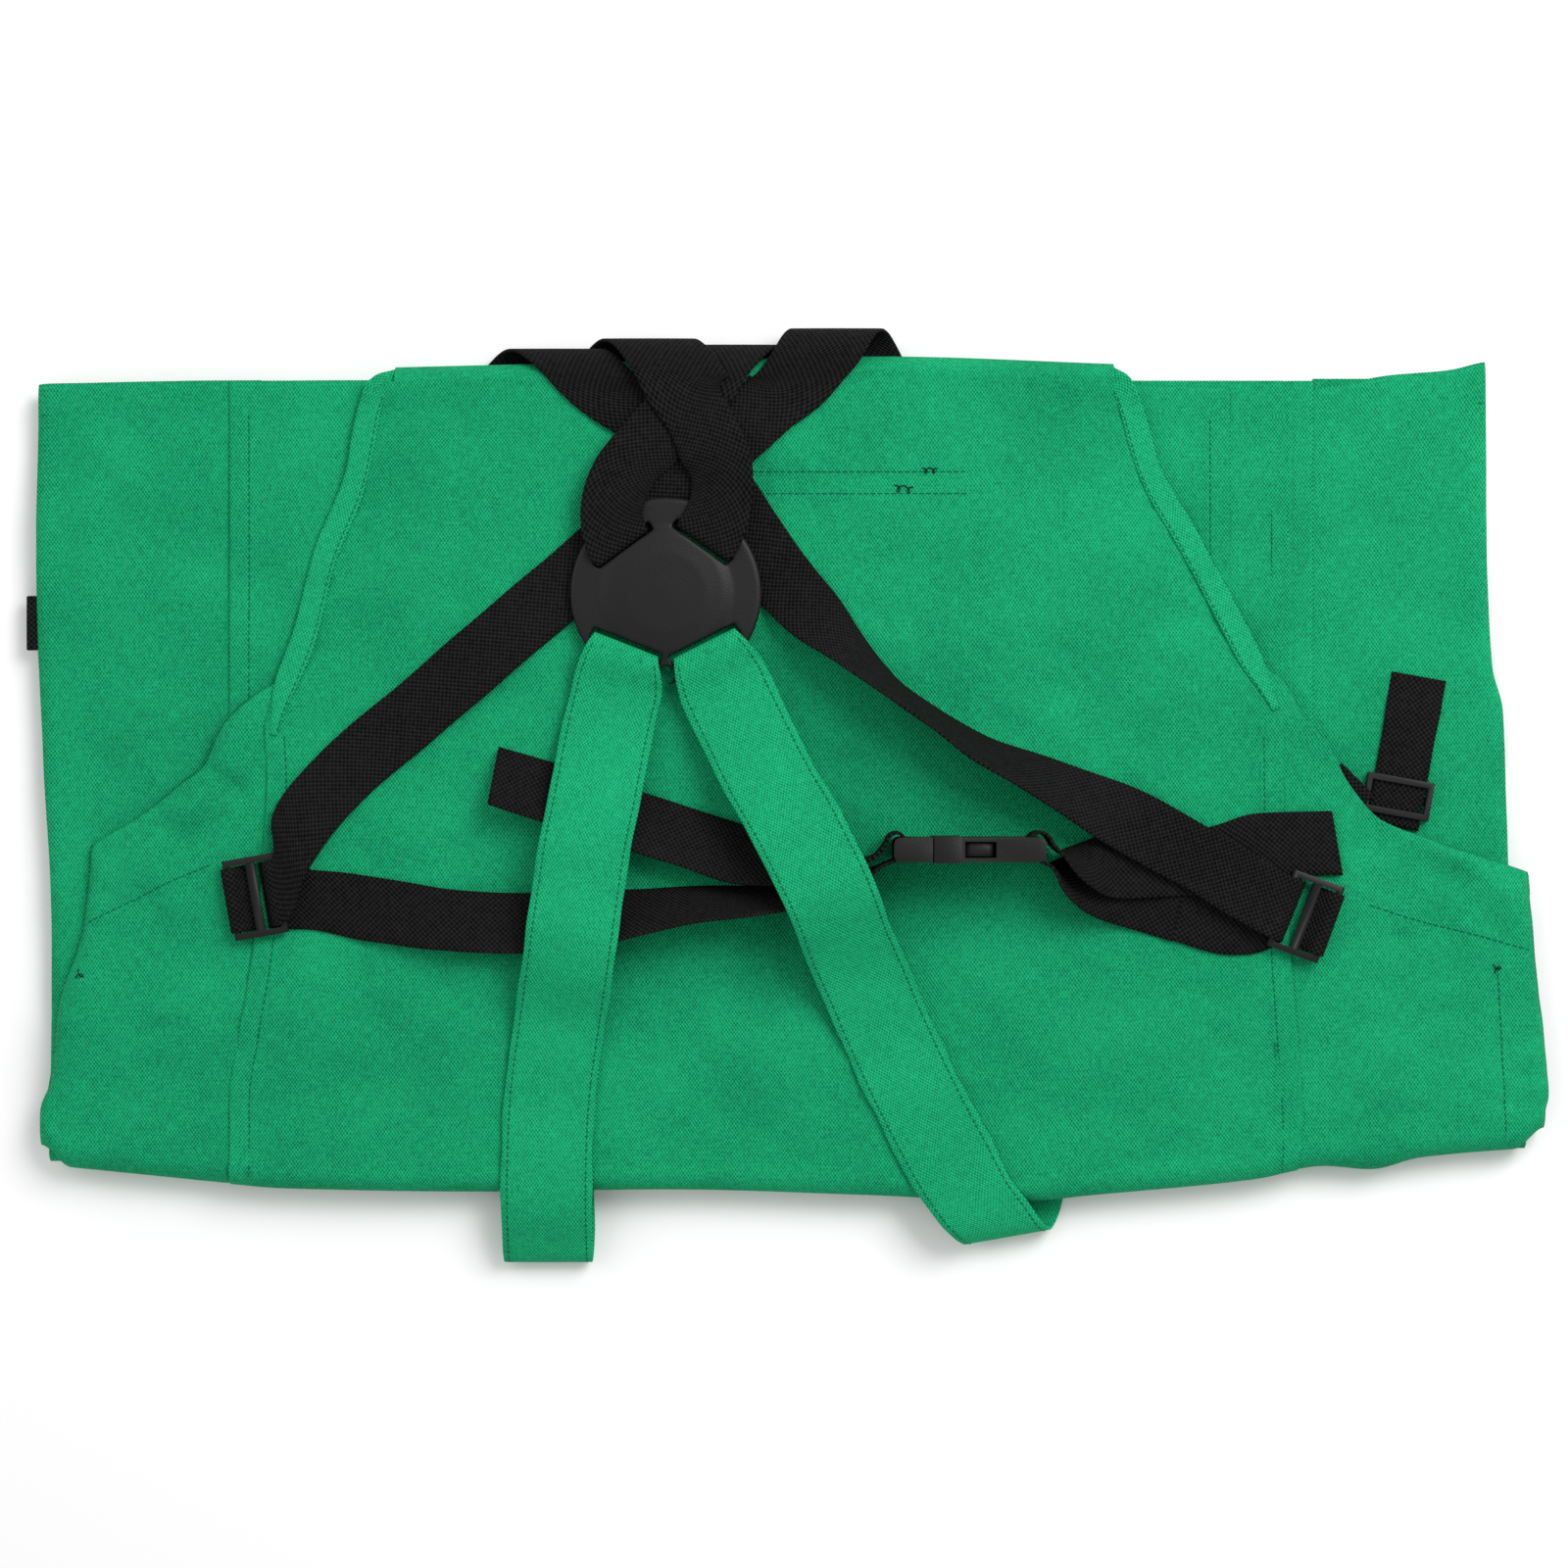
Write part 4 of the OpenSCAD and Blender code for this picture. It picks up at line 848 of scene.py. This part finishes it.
def make_gusset(side, mouth, outer_edge, seam_x, low_in, fold_in, tip_y, lines, hem_y):
    """One side gusset's outer cloth: from the hem at its mouth, down the front, round the fold and
    back up beneath the bag. side is -1 on the left and 1 on the right; fold_in and low_in are the X
    of its inner edge round the fold and beneath."""
    name = "left_gusset" if side < 0 else "right_gusset"
    r = GUSSET_TOP_Z / 2
    centre = tip_y + r
    n, m, hem_depth, underlap = 96, 60, 36, 11
    top = resample(mouth, m)
    out_y = np.linspace(outer_edge[0][1], centre, n)
    end = stack(curve(outer_edge, out_y, key=1), out_y)
    end[0] = top[-1]
    in_y = np.linspace(top[0][1], centre, n)
    under_seam = side * seam_x(in_y) - underlap
    start = stack(side * np.maximum(under_seam, side * top[0, 0]), in_y)
    bottom = stack(np.linspace(start[-1, 0], end[-1, 0], m), centre)
    xy = coons(top, bottom, start, end)
    x, y = xy[..., 0], xy[..., 1]
    pucker, d_mouth = mouth_pucker(x, y, top, 31 if side < 0 else 33, side)
    outside = side * (x - seam_x(y))
    under = smoothstep(-2, 12, outside)
    adjuster = LEFT_ADJUSTER if side < 0 else RIGHT_ADJUSTER
    calm = smoothstep(30, 46, np.hypot(x - adjuster[0], y - adjuster[1]))
    relief = pucker + creases(x, y, lines) + 0.35 * swell(x, y, 45, 35) + 0.25 * swell(x, y, 16, 36)
    relief = relief * under * (0.15 + 0.85 * calm)
    over_end = smoothstep(16, 30, np.hypot(x - 252, y - 8)) if side > 0 else 1
    relief = np.maximum(relief, -2.9 * over_end) * smoothstep(-4, 12, outside)
    near_seam = fade(0, 14, d_mouth) if side > 0 else 0
    z = GUSSET_TOP_Z - 0.35 + relief + swelling(x, y) * (1 - under) + 0.9 * near_seam * (1 - over_end)
    z = z - 5.5 * rounded(np.abs(x - end[:, None, 0]), 9)
    z = z - 0.45 * np.exp(-(d_mouth - hem_depth) ** 2)
    z = z + 0.3 * fade(hem_depth, hem_depth + 2, d_mouth)
    hem = [stack(x[row], y[row] - 0.2, z[row] - drop)
           for row, drop in ((8, 2.6), (5, 2.5), (2, 2.1), (1, 1.3))]
    front = np.concatenate([hem, stack(x, y, z)])
    last = front[-1]
    fold_x = side * np.maximum(side * last[:, 0], side * fold_in)
    rows = []
    for a in np.linspace(0, 180, 15)[1:]:
        c, s = cos_sin(a)
        height = r + (last[:, 2] - r) * c if a < 90 else r + r * c
        rows.append(stack(fold_x, centre - r * s, height))
    for yy in np.linspace(centre, hem_y, 60)[1:]:
        back = curve(LEFT_BACK if side < 0 else RIGHT_BACK, yy, key=1)
        share = smoothstep(centre, centre + 60, yy)
        edge_x = last[-1, 0] * (1 - share) + back * share
        xs = np.linspace(low_in, float(edge_x), m)
        rows.append(stack(xs, yy, 2.4 * rounded(np.abs(xs - edge_x), 5)))
    pts = np.concatenate([front, rows])
    corner = np.abs(pts[..., 0] - end[-1, 0])
    follow = curve(BOTTOM, pts[..., 0]) - tip_y + 9 * fade(0, 14, corner)
    pts[..., 1] += follow * fade(-174, -110, pts[..., 1])
    run = np.concatenate([np.zeros((1, m)), np.cumsum(np.linalg.norm(np.diff(pts, axis=0), axis=-1), 0)])
    last_front = len(front) - 1
    down = np.where(np.arange(len(pts))[:, None] <= last_front, -pts[..., 1],
                    run - run[last_front] - pts[last_front, :, 1])
    uv = stack(pts[..., 0], down)
    obj = cloth_sheet(name + "_outer_cloth", pts, uv, flip=side > 0)
    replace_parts(obj, name)
    return obj


def make_inner(side, left, right, tip_y, step_x):
    """The gusset's inner cloth: from the back's hem down to the inner fold and back up. Below the
    fold it starts at step_x."""
    name = ("left" if side < 0 else "right") + "_gusset_inner_cloth"
    base, low_z = GUSSET_BACK_Z + CLOTH, 5.0
    r = (base - low_z) / 2
    centre = tip_y + r
    y, z, k = folded_profile([(HEM_Y, centre, base), (centre, low_z + r, r, 90, 270),
                              (centre, HEM_Y, low_z)], step=2.6)
    f = columns(90)
    at = np.where(k == 1, centre, y)
    xl, xr = left(at), right(at)
    if side < 0:
        xr = np.where(k == 0, xr, step_x)
    else:
        xl = np.where(k == 0, xl, step_x)
    x = xl[:, None] + f * (xr - xl)[:, None]
    yy, zz = spread(f, y, z)
    first = k[:, None] == 0
    yy = yy + np.where(k[:, None] == 1, 0, (hem_top(x) - HEM_Y) * smoothstep(HEM_Y - 60, HEM_Y, yy))
    zz = np.where(first, back_z(x, yy, zz), zz)
    outer = (x - xl[:, None]) if side < 0 else (xr[:, None] - x)
    zz = zz - np.where(first, 4.5, -1.0) * rounded(outer, 7)
    zz = zz + first * hem_edge(hem_top(x) - yy, 15)
    obj = cloth_sheet(name, stack(x, yy, zz), cloth_uv(f, x, y, z))


def on_cloth(obj, points):
    """Points along a line on the upper face of a gusset, from its nearest vertices."""
    co = np.zeros(len(obj.data.vertices) * 3, np.float32)
    obj.data.vertices.foreach_get("co", co)
    co = co.reshape(-1, 3) / MM
    co = co[co[:, 2] > 14]  # only the layers in front
    line = resample(points, 70)
    d = np.hypot(line[:, None, 0] - co[None, :, 0], line[:, None, 1] - co[None, :, 1])
    near = np.argsort(d, axis=1)[:, :4]
    w = 1 / (np.take_along_axis(d, near, 1) + 0.05)
    return np.column_stack([line, (co[near, 2] * w).sum(1) / w.sum(1) + 0.05])


def make_gussets():
    left = make_gusset(-1, LEFT_MOUTH, LEFT_EDGE, front_left, -242, -255.5, -176, LEFT_CREASES, HEM_Y)
    right = make_gusset(1, RIGHT_MOUTH, RIGHT_EDGE, front_right, 245, 235.5, -170, RIGHT_CREASES, HEM_Y + 4)
    for name, obj, points in (
            ("left_hem_stitch", left, [(-321, -58), (-300, -48), (-280, -38), (-263, -31)]),
            ("right_hem_stitch", right, [(268, -50), (290, -57), (318, -64), (343, -71)]),
            ("right_side_stitch", right, [(327, -78), (329, -115), (331, -156)])):
        stitch_line(name, on_cloth(obj, points))
    make_inner(-1, lambda y: curve(LEFT_BACK, y, key=1), lambda y: 0 * y - 242, -168, -262)
    make_inner(1, lambda y: 0 * y + 224, lambda y: curve(RIGHT_BACK, y, key=1), -162, 268)


# ---- bindings, bands and webbing
def binding(name, node, edge, side):
    """A folded strip over one curved edge of the bib; it wraps the cloth on both faces."""
    line = resample(edge, 70)
    d = unit(np.gradient(line, axis=0))
    inward = stack(-d[:, 1], d[:, 0]) * -side
    centre = line + inward * 4.6
    bearing = np.degrees(np.arctan2(inward[:, 1], inward[:, 0]))
    share = np.linspace(0, 1, len(line))
    narrow = (1 - 0.62 * smoothstep(0.84, 1, share)) * (1 - 0.35 * fade(0, 0.05, share))
    r = (TOP_Z - FLAP_Z) / 2
    top_c = centre[0, 1] + 0.2 - r
    drop = r - np.sqrt(np.clip(r * r - np.clip(centre[:, 1] - top_c, 0, None) ** 2, 0, None))
    z = TOP_Z - 0.3 - drop
    route = [[c[0], c[1], h, b, 0, 11.5 * w] for c, h, b, w in zip(centre, z, bearing, narrow)]
    obj = ribbon(name, route, 2.4, band_canvas, "band_canvas", wave=0.15)
    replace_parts(obj, node)
    stitches = centre + inward * (4.2 * narrow)[:, None]
    z = z + 1.05 + swelling(stitches[:, 0], stitches[:, 1])
    stitch_line(name + "_stitch", np.column_stack([stitches, z])[drop < 2])


def band(name, node, route, seed):
    """A green band, its two rows of stitches and a few frayed threads at its cut end."""
    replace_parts(ribbon(name, route, BAND_T, band_canvas, "band_canvas", seed=seed), node)
    stations = fine_route(route, 2.0)
    stitched = stations[4:int(len(stations) * 0.62)]
    for k, side in enumerate((-0.86, 0.86)):
        stitch_line(f"{name}_stitch_{k + 1}", settled(strap_point(stitched, side, BAND_T / 2)), lift=0.02)
    rng = np.random.default_rng(seed)
    for k in range(7):
        side = rng.uniform(-0.95, 0.95)
        root, above, lower = (settled(strap_point(stations[i:i + 2], side, BAND_T / 2 + lift))[0]
                              for i, lift in ((5, -0.3), (5, 0.6), (9, 0)))
        out, away = above - root, root - lower
        away /= np.linalg.norm(away)
        lean = rng.uniform(-1.4, 1.4, 2)
        tip = root + away * rng.uniform(2, 4) + out + (lean[0], lean[1], 0.2)
        thread_curve(f"{name}_frayed_thread_{k + 1}", [root - away, root + away * 1.4 + out * 0.5, tip],
                     0.13, "band_canvas", band_canvas)


def web(name, node, route, seed, body="bag", thickness=WEB_T, **more):
    """A length of black webbing; node is the CAD node it stands for, or None."""
    obj = ribbon(name, route, thickness, webbing, "webbing", body=body, seed=seed, **more)
    if node:
        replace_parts(obj, node)
    return obj


def blended_web(name, node, route, seed, zone):
    """Webbing attached to no body, with its transform baked into its vertices; zone is not used."""
    obj = web(name, node, route, seed, body=None)
    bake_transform(obj)


def side_loop(name, node, at, turn):
    bend = ROUND_BAR_R + 0.15 + LOOP_T / 2
    lower = TOP_Z + 0.1 + LOOP_T / 2
    upper = lower + LOOP_T + 0.25
    line = [(1.5, lower), (-6, lower)]
    for a in range(-60, -271, -15):
        c, s = cos_sin(a)
        line.append((-BAR_U + bend * c, ADJUSTER_Z + bend * s))
    line += [(-8.6, ADJUSTER_Z + 1.6), (-6.8, ADJUSTER_Z), (-5.2, upper + 0.5), (-3.4, upper), (1.5, upper)]
    c, s = cos_sin(turn)
    route = [[at[0] + u * c, at[1] + u * s, z, turn + 90, 0, WEB_W] for u, z in line]
    web(name, node, route, 5, thickness=LOOP_T, step=0.8, wave=0.1)


def make_straps():
    left, right, socket = (-0.192, -0.228), (0.190, 0.224), (0.178, 0.124)  # zones along X, in metres
    blended_web("left_shoulder_strap", "left_shoulder_webbing", left_shoulder_route, 41,
                left)
    blended_web("left_waist_webbing", "left_waist_strap", left_waist_route, 42, left)
    blended_web("right_shoulder_strap", "right_shoulder_webbing", right_shoulder_route, 43,
                right)
    web("left_tail_webbing", "left_strap_tail", left_tail_route, 44)
    blended_web("right_waist_webbing", "right_waist_strap", right_waist_route[3:], 45, socket)
    blended_web("right_waist_end", None, right_waist_route[:4], 45, right)
    blended_web("right_tail_webbing", "right_strap_tail", right_tail_route, 46, socket)
    side_loop("left_loop_webbing", "left_side_loop", LEFT_ADJUSTER, LEFT_TURN)
    side_loop("right_loop_webbing", "right_side_loop", RIGHT_ADJUSTER, RIGHT_TURN)

    along = np.subtract(TAB_TOP, TAB_END)
    along = along / np.linalg.norm(along)
    turn = math.degrees(math.atan2(along[1], along[0])) - 90
    web("right_closure_webbing", "right_closure_strap",
        [[TAB_END[0] + along[0] * s, TAB_END[1] + along[1] * s, TAB_Z + z, turn, 0, TAB_W]
         for s, z in ((0, 0), (40, 0), (56, 0), (61, -1.2), (70.4, -1.2))], 47)
    web("right_closure_end", "right_closure_tail",
        [[246 + s * math.cos(math.pi / 4), -9 + s * math.sin(math.pi / 4), 19.2, -45, 0, TAB_W - 4]
         for s in (0, 8, 24)], 48, thickness=LOOP_T)
    upper, lower, y = 9.7, 6.7, 80
    bend, middle = (upper - lower) / 2, (upper + lower) / 2
    loop_x = -351.5 + WEB_T / 2 + bend
    line = [(x, upper) for x in (-263.4, loop_x + 2, loop_x)]
    for a in (120, 150, 180, 210, 240):
        c, s = cos_sin(a)
        line.append((loop_x + bend * c, middle + bend * s))
    line += [(x, lower) for x in (loop_x, loop_x + 2, -285)]
    web("left_closure_webbing", "left_closure_strap", [[x, y, z, 90, 0, TAB_W] for x, z in line], 49)
    band("left_band", "left_shoulder_band", left_band_route, 51)
    band("right_band", "right_shoulder_band", right_band_route, 52)
    binding("left_binding_strip", "left_binding", BIB_LEFT, -1)
    binding("right_binding_strip", "right_binding", BIB_RIGHT, 1)


# ---- seams, hems and thread ends
def make_stitching():
    y = np.linspace(28, -176, 80)
    for name, x in (("left_seam_stitch", front_left(y) + SEAM_STITCH),
                    ("right_seam_stitch", front_right(y) - SEAM_STITCH)):
        stitch_line(name, np.column_stack([x, y, front_z(x, y) + 0.4]))

    def overlay(x, y):
        return half_calm(x, y, OVERLAY_Z + CLOTH)

    def gusset_back(x, y):
        return back_z(x, y, GUSSET_BACK_Z + CLOTH)

    def back_panel(x, y):
        base = BACK_UPPER_Z + CLOTH
        return back_z(x, y, base) * 0.3 + base * 0.7

    left, right = OVERLAY_LEFT + SEAM_STITCH, OVERLAY_RIGHT - SEAM_STITCH
    lines = (
        ("bib_stitch_upper", [(-86, 149.5), (0, 149), (85, 149)], 80, front_z, 0.05),
        ("bib_stitch_lower", [(-86, 139), (0, 139), (85, 139)], 80, front_z, 0.05),
        ("overlay_left_stitch", [(left, 189), (left, 40)], 90, overlay, 0.35),
        ("overlay_right_stitch", [(right, 187), (right, 96)], 60, overlay, 0.35),
        ("back_hem_left_stitch", [(-344, 176), (-300, 174), (-259, 171)], 60, gusset_back, 0.3),
        ("back_hem_right_stitch", [(246, 172), (266, 177), (295, 180), (322, 181.5)], 60, gusset_back, 0.3),
        ("back_seam_stitch", [(231.5, 186), (231.5, 60)], 60, back_panel, 0.2))
    for name, points, n, surface, lift in lines:
        line = resample(points, n)
        stitch_line(name, np.column_stack([line, surface(line[:, 0], line[:, 1]) + lift]))


def thread_end(name, at, turn, surface, loops=2, size=4.5):
    """A black thread end that lies on the cloth in a few small loops."""
    a = np.linspace(0, loops * 2 * math.pi, loops * 12)
    u = (a / (2 * math.pi) - loops / 2) * size + 0.35 * size * np.sin(a)
    v = 0.32 * size * np.sin(a + math.pi / 2) * (1 + 0.2 * np.sin(2.3 * a))
    c, s = cos_sin(turn)
    x, y = at[0] + u * c - v * s, at[1] + u * s + v * c
    lift = 0.5 + 0.25 * np.sin(a * 0.5)
    return thread_curve(name, np.column_stack([x, y, surface(x, y) + lift]), 0.24)


def make_thread_ends():
    lines = {"left": [(-325, -80), (-325, -84)], "right": [(327, -77), (327, -81)]}
    left, right = (on_cloth(bpy.data.objects[side + "_gusset_outer_cloth"], line)[:, 2].max()
                   for side, line in lines.items())
    ends = [thread_end("bib_thread_end_1", (54, 141), -6, front_z),
            thread_end("bib_thread_end_2", (66, 149.5), 0, front_z, size=3.5),
            thread_end("left_thread_end", (-324, -82), 70, lambda x, y: left + 0 * x, loops=1),
            thread_end("right_thread_end", (327, -79), 100, lambda x, y: right + 0 * x, loops=1)]
    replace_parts(ends[0], "thread_tacks")


def hardware_shading():
    """Plastic and soft edges on the CAD hardware; the disc is also rounded into one moulded dome."""
    for node in ("cross_disc", "left_adjuster", "right_adjuster", "buckle_plug", "buckle_socket",
                 "latch_arm_upper", "latch_arm_lower", "right_closure_slider", "left_closure_slider"):
        obj = frame["nodes"][node]
        obj.data.materials.clear()
        obj.data.materials.append(plastic)
        shade_smooth(obj.data)
        weld = obj.modifiers.new("weld", "WELD")
        weld.merge_threshold = 0.02 * MM
        bevel = obj.modifiers.new("soft edges", "BEVEL")
        bevel.width = (0.35 if "slider" in node or "adjuster" in node else 0.55) * MM
        bevel.segments = 2
        bevel.limit_method = "ANGLE"
        bevel.angle_limit = math.radians(35)
        bevel.harden_normals = True
    disc = frame["nodes"]["cross_disc"]
    moulded = disc.modifiers.new("moulded", "REMESH")
    moulded.mode = "VOXEL"
    moulded.voxel_size = 0.55 * MM
    moulded.use_smooth_shade = True
    relax = disc.modifiers.new("smooth dome", "SMOOTH")
    relax.factor, relax.iterations = 0.5, 16


# ---- stage
def area_light(name, place, size, power):
    """A square light at a place in metres, aimed at the origin."""
    data = bpy.data.lights.new(name, "AREA")
    data.shape = "RECTANGLE"
    data.size, data.size_y = size, size
    data.energy = power
    obj = link_object(name, data)
    obj.location = place
    obj.rotation_euler = (-Vector(place)).to_track_quat("-Z", "Y").to_euler()


def make_stage():
    data = bpy.data.cameras.new("camera")
    data.lens = 85
    data.sensor_width = 36
    data.clip_start, data.clip_end = 0.05, 50
    camera = link_object("camera", data)
    view_width = 0.720
    distance = view_width * data.lens / data.sensor_width
    camera.location = (-0.0009, 0.0056, distance + TOP_Z * MM)
    bpy.context.scene.camera = camera

    mesh = bpy.data.meshes.new("floor")
    half = 6
    corners = [(-half, -half, 0), (half, -half, 0), (half, half, 0), (-half, half, 0)]
    mesh.from_pydata(corners, [], [(0, 1, 2, 3)])
    floor = link_object("floor", mesh)
    floor.location.z = -0.0004
    mesh.materials.append(material("pale floor", (0.92, 0.92, 0.92), 0.9, 0.1)[0])

    area_light("key", (0.95, 1.0, 1.6), 1.1, 33)
    area_light("fill", (-1.5, 0.7, 1.6), 1.6, 9)
    world = bpy.data.worlds.new("studio")
    world.use_nodes = True
    background = world.node_tree.nodes["Background"].inputs
    background["Color"].default_value = (1, 1, 1, 1)
    background["Strength"].default_value = 0.62
    bpy.context.scene.world = world
    bpy.context.scene.view_settings.view_transform = "Standard"


make_stage()
make_overlay()
make_back()
make_anchor_patch()
make_gussets()
make_front_panel()
make_straps()
make_stitching()
make_thread_ends()
hardware_shading()
